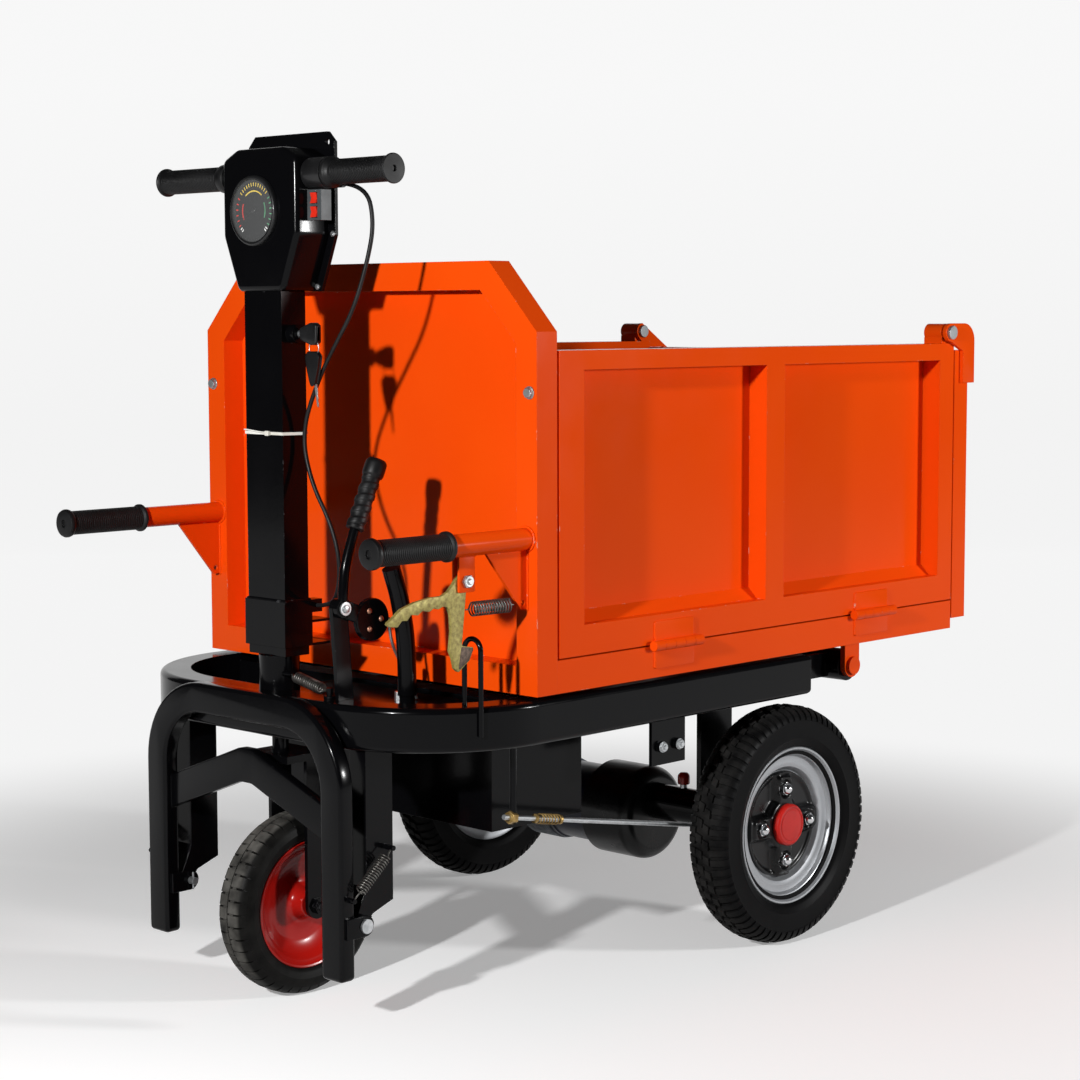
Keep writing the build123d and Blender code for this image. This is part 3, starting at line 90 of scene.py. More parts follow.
def node(tree, kind, inputs=None, **settings):
    """Adds a node. An input is a value, a socket, or a node, whose first output in use is taken."""
    made = tree.nodes.new(kind)
    for name, value in settings.items():
        setattr(made, name, value)
    for key, value in (inputs or {}).items():
        if isinstance(value, bpy.types.Node):
            value = next(socket for socket in value.outputs if socket.enabled)
        if isinstance(value, bpy.types.NodeSocket):
            tree.links.new(value, made.inputs[key])
        else:
            made.inputs[key].default_value = value
    return made


def open_finish(name):
    """A new material's tree, and its Object coordinates."""
    made = bpy.data.materials.new(name)
    made.use_nodes = True
    made.node_tree.nodes.clear()
    finishes[name] = made
    return made.node_tree, node(made.node_tree, "ShaderNodeTexCoord").outputs["Object"]


def skin(tree, soft, strength, depth, height):
    """Surface with bumps of a depth, and with edges rounded by a radius, both in millimetres."""
    edges = node(tree, "ShaderNodeBevel", {"Radius": soft * MM}, samples=4)
    return node(tree, "ShaderNodeBump", {"Strength": strength, "Distance": depth * MM, "Height": height,
                                         "Normal": edges})


def close_finish(tree, inputs):
    shader = node(tree, "ShaderNodeBsdfPrincipled", inputs)
    node(tree, "ShaderNodeOutputMaterial", {"Surface": shader})


def enamel(name, colour, shade, chip, roughness, coat=0.1, glare=0.25):
    """Sprayed enamel on steel: a wet gloss over slow shifts of tone where the coat is thicker, faint
    orange peel, edges that the paint rounds off, and small chips along them."""
    tree, here = open_finish(name)
    drift = node(tree, "ShaderNodeTexNoise", {"Vector": here, "Scale": per_mm(260), "Detail": 3.0})
    tone = node(tree, "ShaderNodeMix", {0: drift, 6: linear(colour), 7: linear(shade)},
                data_type="RGBA")
    wide = node(tree, "ShaderNodeBevel", {"Radius": 2.6 * MM}, samples=4)
    flat = node(tree, "ShaderNodeNewGeometry").outputs["Normal"]
    turned = node(tree, "ShaderNodeVectorMath", {0: wide, 1: flat}, operation="DOT_PRODUCT")
    rim = node(tree, "ShaderNodeMapRange", {"Value": turned, "From Min": 0.985, "From Max": 0.9})
    grit = node(tree, "ShaderNodeTexNoise", {"Vector": here, "Scale": per_mm(24), "Detail": 5.0,
                                             "Roughness": 0.7})
    loss = node(tree, "ShaderNodeMapRange", {"Value": grit, "From Min": 0.61, "From Max": 0.66})
    worn = node(tree, "ShaderNodeMath", {0: rim, 1: loss}, operation="MULTIPLY")
    paint = node(tree, "ShaderNodeMix", {0: worn, 6: tone, 7: linear(chip)}, data_type="RGBA")
    smear = node(tree, "ShaderNodeTexNoise", {"Vector": here, "Scale": per_mm(70), "Detail": 4.0})
    gloss = node(tree, "ShaderNodeMapRange", {"Value": smear, "From Min": 0.3, "From Max": 0.7,
                                              "To Min": roughness, "To Max": roughness + 0.06})
    peel = node(tree, "ShaderNodeTexNoise", {"Vector": here, "Scale": per_mm(9), "Detail": 1.0})
    close_finish(tree, {"Base Color": paint, "Roughness": gloss, "Coat Weight": coat,
                        "Coat Roughness": 0.06, "Specular IOR Level": glare,
                        "Normal": skin(tree, 1.2, 0.1, 0.3, peel)})


def plated(name, colour, shade, metallic, roughness, patch, soft=0.6):
    """Plated or bare steel: mottled tone from the bath, fine tumbling scratches and softened edges."""
    tree, here = open_finish(name)
    mottle = node(tree, "ShaderNodeTexNoise", {"Vector": here, "Scale": per_mm(patch), "Detail": 6.0,
                                               "Roughness": 0.65})
    spread = node(tree, "ShaderNodeMapRange", {"Value": mottle, "From Min": 0.35, "From Max": 0.65})
    tone = node(tree, "ShaderNodeMix", {0: spread, 6: linear(colour), 7: linear(shade)},
                data_type="RGBA")
    dull = node(tree, "ShaderNodeMapRange", {"Value": mottle, "From Min": 0.3, "From Max": 0.7,
                                             "To Min": roughness, "To Max": roughness + 0.2})
    scratch = node(tree, "ShaderNodeTexNoise", {"Vector": here, "Scale": per_mm(1.5), "Detail": 3.0})
    close_finish(tree, {"Base Color": tone, "Metallic": metallic, "Roughness": dull,
                        "Normal": skin(tree, soft, 0.15, 0.1, scratch)})


def moulded(name, colour, shade, roughness, grain, depth, soft=0.8, coat=0.0, glare=0.25):
    """Moulded plastic or rubber: an even colour with a fine mould grain and handled, greyer patches."""
    tree, here = open_finish(name)
    worn = node(tree, "ShaderNodeTexNoise", {"Vector": here, "Scale": per_mm(45), "Detail": 5.0})
    spread = node(tree, "ShaderNodeMapRange", {"Value": worn, "From Min": 0.4, "From Max": 0.75})
    tone = node(tree, "ShaderNodeMix", {0: spread, 6: linear(colour), 7: linear(shade)},
                data_type="RGBA")
    gloss = node(tree, "ShaderNodeMapRange", {"Value": worn, "From Min": 0.3, "From Max": 0.7,
                                              "To Min": roughness, "To Max": roughness + 0.15})
    pebble = node(tree, "ShaderNodeTexVoronoi", {"Vector": here, "Scale": per_mm(grain)})
    close_finish(tree, {"Base Color": tone, "Roughness": gloss, "IOR": 1.5, "Specular IOR Level": glare,
                        "Coat Weight": coat, "Coat Roughness": 0.1,
                        "Normal": skin(tree, soft, 0.3, depth, pebble)})


def tyre_rubber(name, centre, clean_r, tread_r, colour, dust):
    """Carbon-black tyre rubber: dull and nearly black on the sidewall with a slight bloom, greyer with
    dust where the tread meets the ground."""
    tree, here = open_finish(name)
    hub = node(tree, "ShaderNodeMapping", {"Vector": here, "Location": (-centre.x, 0, -centre.z),
                                           "Scale": (1, 0, 1)})
    reach = node(tree, "ShaderNodeVectorMath", {0: hub}, operation="LENGTH")
    tread = node(tree, "ShaderNodeMapRange", {"Value": reach, "From Min": clean_r * MM,
                                              "From Max": tread_r * MM})
    cloud = node(tree, "ShaderNodeTexNoise", {"Vector": here, "Scale": per_mm(30), "Detail": 6.0})
    patch = node(tree, "ShaderNodeMapRange", {"Value": cloud, "From Min": 0.3, "From Max": 0.7,
                                              "To Min": 0.1})
    dusty = node(tree, "ShaderNodeMath", {0: tread, 1: patch}, operation="MULTIPLY")
    bloom = node(tree, "ShaderNodeMath", {0: patch, 1: 0.08}, operation="MULTIPLY")
    most = node(tree, "ShaderNodeMath", {0: dusty, 1: bloom}, operation="MAXIMUM")
    tone = node(tree, "ShaderNodeMix", {0: most, 6: linear(colour), 7: linear(dust)}, data_type="RGBA")
    gloss = node(tree, "ShaderNodeMapRange", {"Value": most, "To Min": 0.42, "To Max": 0.85})
    pores = node(tree, "ShaderNodeTexNoise", {"Vector": here, "Scale": per_mm(2.0), "Detail": 4.0})
    close_finish(tree, {"Base Color": tone, "Roughness": gloss, "IOR": 1.52, "Specular IOR Level": 0.05,
                        "Normal": skin(tree, 0.7, 0.25, 0.3, pores)})


def flake_paint(name, colour, shade):
    """Aluminium wheel paint: pale metal flake under lacquer, with faint rolling marks."""
    tree, here = open_finish(name)
    flake = node(tree, "ShaderNodeTexVoronoi", {"Vector": here, "Scale": per_mm(1.2)})
    tone = node(tree, "ShaderNodeMix", {0: flake, 6: linear(colour), 7: linear(shade)},
                data_type="RGBA")
    cloud = node(tree, "ShaderNodeTexNoise", {"Vector": here, "Scale": per_mm(40), "Detail": 4.0})
    gloss = node(tree, "ShaderNodeMapRange", {"Value": cloud, "To Min": 0.32, "To Max": 0.5})
    close_finish(tree, {"Base Color": tone, "Metallic": 0.55, "Roughness": gloss, "Coat Weight": 0.15,
                        "Coat Roughness": 0.15, "Normal": skin(tree, 1.0, 0.1, 0.1, flake)})


def clear_plastic(name, tint):
    """Clear polycarbonate: see-through without a tint, with a moulded gloss and a slight haze."""
    tree, here = open_finish(name)
    haze = node(tree, "ShaderNodeTexNoise", {"Vector": here, "Scale": per_mm(12), "Detail": 3.0})
    gloss = node(tree, "ShaderNodeMapRange", {"Value": haze, "To Min": 0.02, "To Max": 0.12})
    close_finish(tree, {"Base Color": linear(tint), "Roughness": gloss, "IOR": 1.58, "Alpha": 0.04})


def paper(name, colour):
    """Paper sweep: pale to the eye and in reflections, with a glow that grows away from the object so
    that the background is near white and shadows stay grey. Light that bounces off it is darker, so
    that the object's shaded sides stay dark."""
    tree, here = open_finish(name)
    ray = node(tree, "ShaderNodeLightPath").outputs
    seen = node(tree, "ShaderNodeMath", {0: ray["Is Camera Ray"], 1: ray["Is Glossy Ray"]},
                operation="MAXIMUM")
    shown = node(tree, "ShaderNodeMath", {0: seen, 1: ray["Is Transmission Ray"]}, operation="MAXIMUM")
    flat = node(tree, "ShaderNodeMapping", {"Vector": here, "Scale": (1, 1, 0)})
    reach = node(tree, "ShaderNodeVectorMath", {0: flat}, operation="LENGTH")
    far = node(tree, "ShaderNodeMapRange", {"Value": reach, "From Min": 0.9, "From Max": 2.1},
               interpolation_type="SMOOTHSTEP")
    height = node(tree, "ShaderNodeSeparateXYZ", {0: here}).outputs["Z"]
    cloud = node(tree, "ShaderNodeTexNoise", {"Vector": here, "Scale": per_mm(900), "Detail": 2.0})
    sheet = node(tree, "ShaderNodeMix", {0: cloud, 6: linear(colour), 7: linear("#ECECEC")},
                 data_type="RGBA")
    lit = node(tree, "ShaderNodeMix", {0: far, 6: sheet, 7: linear("#303030")}, data_type="RGBA")
    tone = node(tree, "ShaderNodeMix", {0: shown, 6: linear("#6E6E6E"), 7: lit}, data_type="RGBA")
    low = node(tree, "ShaderNodeMapRange", {"Value": far, "To Min": 0.27, "To Max": 0.89})
    high = node(tree, "ShaderNodeMapRange", {"Value": height, "From Min": 0.5, "From Max": 2.2,
                                             "To Max": 0.04})
    glow = node(tree, "ShaderNodeMath", {0: low, 1: high}, operation="ADD")
    given = node(tree, "ShaderNodeMath", {0: glow, 1: shown}, operation="MULTIPLY")
    close_finish(tree, {"Base Color": tone, "Roughness": 0.9, "Specular IOR Level": 0.1,
                        "Emission Color": linear("#FFFFFF"), "Emission Strength": given})


# Outlines and mesh tools, all in millimetres

def place(origin, axis=(0, 0, 1), side=(1, 0, 0)):
    """Matrix with its Z along an axis and its X as near as can be to a side direction."""
    up = Vector(axis).normalized()
    right = (Vector(side) - up * up.dot(Vector(side))).normalized()
    return Matrix.Translation(origin) @ Matrix((right, up.cross(right), up)).transposed().to_4x4()


def arc(radius, start, end, steps):
    """Points on an arc between two angles in degrees, with both ends."""
    angles = [math.radians(start + (end - start) * i / steps) for i in range(steps + 1)]
    return [(radius * math.cos(a), radius * math.sin(a)) for a in angles]


def circle(radius, steps):
    return arc(radius, 0, 360, steps)[:-1]


def hexagon(across):
    """Outline of a hexagon, given across its flats."""
    return circle(across / math.sqrt(3), 6)


def box_outline(x0, x1, y0, y1):
    return [(x0, y0), (x1, y0), (x1, y1), (x0, y1)]


def rounded(points, radius, steps=6):
    """Outline with each corner turned into an arc. The radius is one number, or one for each corner."""
    radii = radius if isinstance(radius, tuple) else [radius] * len(points)
    found = []
    for i, size in enumerate(radii):
        here = Vector(points[i])
        if size == 0:
            found.append(here)
            continue
        back = Vector(points[i - 1]) - here
        on = Vector(points[(i + 1) % len(points)]) - here
        half = back.angle(on) / 2
        trim = min(size / math.tan(half), 0.48 * back.length, 0.48 * on.length)
        bend = trim * math.tan(half)
        middle = here + (back.normalized() + on.normalized()).normalized() * (bend / math.sin(half))
        first = here + back.normalized() * trim - middle
        last = here + on.normalized() * trim - middle
        sweep = first.angle_signed(last)
        for step in range(steps + 1):
            turned = first.copy()
            turned.rotate(Matrix.Rotation(-sweep * step / steps, 2))
            found.append(middle + turned)
    return found


def inset(points, amount):
    """Anticlockwise outline moved inwards."""
    found = []
    for i, point in enumerate(points):
        a, b, c = Vector(points[i - 1]), Vector(point), Vector(points[(i + 1) % len(points)])
        into = [Vector((-d.y, d.x)).normalized() for d in (b - a, c - b)]
        found.append(b + (into[0] + into[1]) * (amount / max(1e-6, 1 + into[0].dot(into[1]))))
    return found


def mirrored(half):
    """Section on both sides of its middle plane, from one half."""
    return half + [(radius, -wide) for radius, wide in reversed(half) if wide]


def eased(points, parts=6):
    """Smooth line through points."""
    points = [Vector(p) for p in points]
    ends = [points[0] * 2 - points[1]] + points + [points[-1] * 2 - points[-2]]
    found = []
    for a, b, c, d in zip(ends, ends[1:], ends[2:], ends[3:]):
        for step in range(parts):
            t = step / parts
            found.append(0.5 * (2 * b + (c - a) * t + (2 * a - 5 * b + 4 * c - d) * t ** 2
                                + (3 * b - a - 3 * c + d) * t ** 3))
    return found + [points[-1]]


def loft(bm, rings, closed=False, capped=False):
    """Skins rings of points, some of which may be a single point. Gives the caps."""
    rings = [[bm.verts.new(point) for point in ring] for ring in rings]
    for low, high in zip(rings, rings[1:] + rings[:1] * closed):
        for i in range(max(len(low), len(high))):
            corners = dict.fromkeys((low[i % len(low)], low[(i + 1) % len(low)],
                                     high[(i + 1) % len(high)], high[i % len(high)]))
            if len(corners) > 2:
                bm.faces.new(list(corners))
    return [bm.faces.new(ring) for ring in (rings[0][::-1], rings[-1])] if capped else []


def turn(bm, section, where, steps=72, closed=True):
    """Turns a half section of (radius, height) pairs round the Z axis of a place."""
    loft(bm, [[where @ Vector((x, y, height)) for x, y in circle(radius, steps if radius else 1)]
              for radius, height in section], closed)


def slab(bm, points, low, high, where, edge=0.0, steps=3):
    """Plate of an anticlockwise outline between two heights, with its rims rounded."""
    rim = [(edge - y, low + edge - x) for x, y in arc(edge, 0, 90, steps)] if edge else [(0.0, low)]
    rim += [(amount, low + high - height) for amount, height in reversed(rim)]
    rings = [[where @ Vector((*p, height)) for p in inset(points, amount)] for amount, height in rim]
    for cap in loft(bm, rings, capped=True):
        cap.material_index = FLAT


def bar(bm, points, radius, steps=14):
    """Round bar along points. The radius is one number, or one for each point."""
    points = [Vector(p) for p in points]
    radii = radius if isinstance(radius, tuple) else [radius] * len(points)
    rings, right = [], None
    for i, (point, size) in enumerate(zip(points, radii)):
        way = (points[min(i + 1, len(points) - 1)] - points[max(i - 1, 0)]).normalized()
        right = way.orthogonal() if right is None else right
        right = (right - way * way.dot(right)).normalized()
        up = way.cross(right)
        rings.append([point + right * x + up * y for x, y in circle(size, steps)])
    loft(bm, rings, capped=True)


def band(bm, outline, low, high, thick):
    """Flat strap round an anticlockwise outline."""
    outer = inset(outline, -thick)
    edges = ((outline, low), (outer, low), (outer, high), (outline, high))
    loft(bm, [[(*p, height) for p in points] for points, height in edges], closed=True)


def hex_head(bm, where, across, height, washer=0.0):
    """Bolt head or nut with turned-down corners, on a washer."""
    thick = height / 4 if washer else 0.0
    if washer:
        turn(bm, [(0, 0), (washer, 0), (washer, thick * 0.7), (washer * 0.96, thick), (0, thick)], where,
             32, False)
    slab(bm, hexagon(across), thick, height * 0.75, where)
    reach = across / math.sqrt(3)
    turn(bm, [(0, height * 0.7), (reach * 0.93, height * 0.75), (across * 0.46, height), (0, height)],
         where, 24, False)


def shape(*steps):
    """A mesh from its steps. Each is a mesh tool with what it is given."""
    bm = bmesh.new()
    for tool, *given in steps:
        tool(bm, *given)
    return bm


# Copies by geometry nodes

def open_copies(name, *sockets):
    """A new tree with named inputs, a unit and a finish among them, and the inputs' sockets."""
    tree = bpy.data.node_groups.new(name, "GeometryNodeTree")
    for label, kind in (*sockets, ("Unit", "Object"), ("Finish", "Material")):
        tree.interface.new_socket(label, in_out="INPUT", socket_type=f"NodeSocket{kind}")
    tree.interface.new_socket("Geometry", in_out="OUTPUT", socket_type="NodeSocketGeometry")
    return tree, node(tree, "NodeGroupInput").outputs


def close_copies(tree, given, points, facing):
    """Sets the unit on points, makes the copies real and gives them the finish."""
    unit = node(tree, "GeometryNodeObjectInfo", {"Object": given["Unit"]}).outputs["Geometry"]
    copies = node(tree, "GeometryNodeInstanceOnPoints", {"Points": points, "Instance": unit,
                                                         "Rotation": facing})
    real = node(tree, "GeometryNodeRealizeInstances", {"Geometry": copies})
    done = node(tree, "GeometryNodeSetMaterial", {"Geometry": real, "Material": given["Finish"]})
    node(tree, "NodeGroupOutput", {"Geometry": done})
    return tree


def circle_tree():
    """Copies of a unit round a circle about Z, each with its X axis outwards."""
    tree, given = open_copies("circle_tree", ("Count", "Int"), ("Radius", "Float"))
    ring = node(tree, "GeometryNodeMeshCircle", {"Vertices": given["Count"], "Radius": given["Radius"]})
    point = node(tree, "GeometryNodeInputPosition")
    facing = node(tree, "FunctionNodeAlignRotationToVector", {"Vector": point}, axis="X", pivot_axis="Z")
    return close_copies(tree, given, ring, facing)


def path_tree():
    """Copies of a unit along a path, Z along the path, spun by a seeded amount."""
    tree, given = open_copies("path_tree", ("Path", "Geometry"), ("Spacing", "Float"), ("Spin", "Float"),
                              ("Seed", "Int"))
    line = node(tree, "GeometryNodeMeshToCurve", {"Mesh": given["Path"]})
    spots = node(tree, "GeometryNodeCurveToPoints", {"Curve": line, "Length": given["Spacing"]},
                 mode="LENGTH").outputs
    least = node(tree, "ShaderNodeMath", {0: given["Spin"], 1: -1.0}, operation="MULTIPLY")
    spin = node(tree, "FunctionNodeRandomValue", {2: least, 3: given["Spin"], "Seed": given["Seed"]},
                data_type="FLOAT")
    axis = node(tree, "ShaderNodeCombineXYZ", {"Z": spin})
    facing = node(tree, "FunctionNodeRotateRotation", {"Rotation": spots["Rotation"], "Rotate By": axis},
                  rotation_space="LOCAL")
    return close_copies(tree, given, spots["Points"], facing)


def grown(bm, kind, host, unit, where, finish, values):
    """Grows copies of a unit with a tree and adds them to a shape."""
    tree = bpy.data.node_groups.get(kind.__name__) or kind()
    scene = bpy.context.scene
    bmesh.ops.recalc_face_normals(unit, faces=unit.faces)
    unit_mesh, host_mesh = bpy.data.meshes.new("unit"), bpy.data.meshes.new("host")
    unit.to_mesh(unit_mesh)
    unit.free()
    host_mesh.from_pydata([tuple(p) for p in host], [(i, i + 1) for i in range(len(host) - 1)], [])
    unit_object = bpy.data.objects.new("unit", unit_mesh)
    grower = bpy.data.objects.new("grower", host_mesh)
    scene.collection.objects.link(unit_object)
    scene.collection.objects.link(grower)
    modifier = grower.modifiers.new("copies", "NODES")
    modifier.node_group = tree
    values = {**values, "Unit": unit_object, "Finish": finishes[finish]}
    for item in tree.interface.items_tree:
        if item.in_out == "INPUT" and item.name in values:
            modifier[item.identifier] = values[item.name]
    graph = bpy.context.evaluated_depsgraph_get()
    made = bpy.data.meshes.new_from_object(grower.evaluated_get(graph), depsgraph=graph)
    made.transform(where)
    made.polygons.foreach_set("material_index", [0] * len(made.polygons))
    bm.from_mesh(made)
    for gone in (grower, unit_object):
        bpy.data.objects.remove(gone)
    for gone in (made, unit_mesh, host_mesh):
        bpy.data.meshes.remove(gone)


def ringed(outline, low, high, lie, where, finish, count, radius):
    """Step that sets slabs of an outline round a wheel."""
    unit = shape((slab, outline, low, high, lie))
    return grown, circle_tree, [], unit, where, finish, {"Count": count, "Radius": radius}


def rowed(line, unit, finish, spacing, spin=0.0, seed=1):
    """Step that sets a unit along a line."""
    return grown, path_tree, line, unit, HERE, finish, {"Spacing": spacing, "Spin": spin, "Seed": seed}


# Pieces and their places

def piece(name, bm, finish, body, stands_for=(), sharp=38.0):
    """Turns a millimetre shape into an object that rides on a body, or on none yet."""
    bmesh.ops.remove_doubles(bm, verts=bm.verts, dist=0.002)
    bmesh.ops.recalc_face_normals(bm, faces=bm.faces)
    bm.transform(Matrix.Scale(MM, 4))
    for face in bm.faces:
        face.smooth = face.material_index != FLAT
        face.material_index = 0
    mesh = bpy.data.meshes.new(name)
    bm.to_mesh(mesh)
    bm.free()
    mesh.set_sharp_from_angle(angle=math.radians(sharp))
    mesh.materials.append(finishes[finish])
    made = bpy.data.objects.new(name, mesh)
    bpy.context.scene.collection.objects.link(made)
    if body:
        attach(made, body)
    if stands_for:
        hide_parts(*stands_for)
    return made


def span(name):
    """Lowest and highest corner of a CAD node, in millimetres."""
    low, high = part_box(name)
    return low / MM, high / MM


def axle(joint):
    """A joint's place in millimetres."""
    return Vector(JOINTS[joint]["pos_m"]) / MM


def wheel_place(joint, side):
    """Place at a wheel's middle with Z outwards."""
    return place(axle(joint), (0, side, 0))


# What a user would change

class BarrowSizes(bpy.types.PropertyGroup):
    drive_lugs: bpy.props.IntProperty(
        name="Drive tyre lugs", description="Shoulder lugs round each drive tyre", default=72, min=20,
        max=100)
    guide_blocks: bpy.props.IntProperty(
        name="Guide tyre blocks", description="Tread blocks round the guide tyre", default=44, min=16,
        max=70)
    rib_pitch: bpy.props.FloatProperty(
        name="Grip rib pitch", description="Distance between two ribs of a grip", default=3.6 * MM,
        min=2 * MM, max=8 * MM, subtype="DISTANCE", unit="LENGTH")
    bead_pitch: bpy.props.FloatProperty(
        name="Weld ripple pitch", description="Distance between two ripples of a weld bead",
        default=2.6 * MM, min=1 * MM, max=6 * MM, subtype="DISTANCE", unit="LENGTH")
    lens: bpy.props.FloatProperty(
        name="Camera lens", description="Focal length that matches the photograph", default=78.84,
        min=20, max=200, subtype="DISTANCE_CAMERA")
    left_lamp: bpy.props.FloatProperty(
        name="Left lamp", description="Watts of the small lamp left of the camera", default=92, min=0,
        max=400)
    right_lamp: bpy.props.FloatProperty(
        name="Right lamp", description="Watts of the low lamp right of the camera", default=88, min=0,
        max=400)


class BarrowColours(bpy.types.PropertyGroup):
    orange: bpy.props.StringProperty(
        name="Box orange", description="sRGB hex colour of the cargo box", default="#F0510A")
    black: bpy.props.StringProperty(
        name="Frame black", description="sRGB hex colour of the chassis and column", default="#050506")
    red: bpy.props.StringProperty(
        name="Guide rim red", description="sRGB hex colour of the guide wheel's rim", default="#B81A12")
    silver: bpy.props.StringProperty(
        name="Wheel silver", description="sRGB hex colour of the drive rims", default="#AEB0B3")
    backdrop: bpy.props.StringProperty(
        name="Backdrop", description="sRGB hex colour of the floor and backdrop", default="#F0F0F0")


# CAD nodes that stay in view, by the finish that they get
NODE_FINISHES = {
    "orange_enamel": ("headboard", "box_floor", "tailgate", "push_handle_left", "push_handle_right",
                      "tip_lugs"),
    "black_enamel": ("chassis_rim", "cross_tubes", "steering_head", "step_brackets", "pivot_tube",
                     "latch_loop", "battery_box", "axle_beam", "brake_foot", "fork", "steering_column",
                     "back_plate"),
    "cast_black": ("gear_case",),
    "zinc_plate": ("step_pins", "handlebar"),
    "spring_steel": ("step_springs", "deck_spring"),
    "rod_spring_brass": ("rod_spring",),
    "wire_rope": ("brake_cable",),
    "moulded_black": ("throttle_case",),
    "switch_grey": ("switch_bracket",),
    "rocker_red": ("rocker_upper", "rocker_lower"),
}


class BARROW_OT_finishes(bpy.types.Operator):
    """Make every finish and put it on the CAD nodes that stay"""
    bl_idname = "barrow.finishes"
    bl_label = "Finishes"

    def execute(self, context):
        tones = context.scene.barrow_colours
        enamel("orange_enamel", tones.orange, "#E84406", "#D9AE96", 0.17, 0.0, 0.07)
        enamel("black_enamel", tones.black, "#08080A", "#4A4A4C", 0.13, 0.04, 0.1)
        enamel("red_enamel", tones.red, "#8E100C", "#5A2A24", 0.2)
        enamel("motor_blue", "#0E1636", "#090E22", "#3A3E48", 0.3)
        moulded("cast_black", "#060607", "#121213", 0.24, 2.5, 0.2, 1.5, 0.12, 0.2)
        moulded("grip_vinyl", "#09090A", "#151516", 0.42, 1.2, 0.1)
        moulded("moulded_black", "#0E0E0F", "#1D1D1E", 0.35, 1.0, 0.05, 1.2, 0.2)
        moulded("switch_grey", "#4C5052", "#36393B", 0.3, 1.5, 0.03, 0.8, 0.2)
        moulded("rocker_red", "#E2301C", "#B41E10", 0.28, 1.2, 0.03, 0.8, 0.3)
        moulded("cap_red", "#C81E16", "#A81610", 0.35, 1.4, 0.12, 1.0, 0.2)
        moulded("dial_black", "#040405", "#08080A", 0.5, 0.8, 0.02, 0.3, 0.0, 0.1)
        moulded("dial_yellow", "#E8C94A", "#D2AE30", 0.5, 0.8, 0.01, 0.1)
        moulded("dial_red", "#DA2A1E", "#BC1C12", 0.5, 0.8, 0.01, 0.1)
        moulded("dial_green", "#4F9A6C", "#3C8058", 0.5, 0.8, 0.01, 0.1)
        moulded("dial_white", "#EDEDEA", "#D4D4D0", 0.5, 0.8, 0.01, 0.1)
        moulded("nylon_white", "#E9E7E0", "#CFCBC0", 0.4, 1.0, 0.02, 0.3)
        moulded("cable_sleeve", "#0C0C0D", "#1B1B1C", 0.4, 1.5, 0.03, 0.3)
        plated("zinc_plate", "#C4C7C9", "#9DA0A2", 0.9, 0.28, 14)
        plated("chrome_plate", "#D9DADC", "#C2C4C6", 1.0, 0.08, 20)
        plated("yellow_zinc", "#A0954F", "#7A6B36", 0.3, 0.42, 7)
        plated("spring_steel", "#6E6C68", "#403E3B", 0.85, 0.3, 8, 0.2)
        plated("rod_spring_brass", "#A68A54", "#7C6438", 0.8, 0.35, 8, 0.2)
        plated("wire_rope", "#A9ABAC", "#7F8182", 0.9, 0.3, 3, 0.1)
        plated("rivet_copper", "#C39078", "#8E5F4A", 0.9, 0.35, 6, 0.3)
        # zinc darkened to brown as painted shade: the latch's barb is a tang bent away from the light,
        # but it is drawn flat
        plated("zinc_painted_shade", "#5A4636", "#382A22", 0.4, 0.45, 5, 0.3)
        plated("motor_alloy", "#8C9094", "#6E7276", 0.7, 0.45, 10)
        flake_paint("silver_flake", tones.silver, "#9A9DA1")
        clear_plastic("clear_lens", "#F4F6F6")
        drive, guide = axle("drive_wheel_left_spin") * MM, axle("guide_wheel_spin") * MM
        tyre_rubber("drive_rubber", drive, 186, 204, "#070708", "#2B2A29")
        tyre_rubber("guide_rubber", guide, 141, 144.6, "#080808", "#5E5C58")
        for finish, nodes in NODE_FINISHES.items():
            for name in nodes:
                slots = frame["nodes"][name].data.materials
                slots.clear()
                slots.append(finishes[finish])
        return {"FINISHED"}


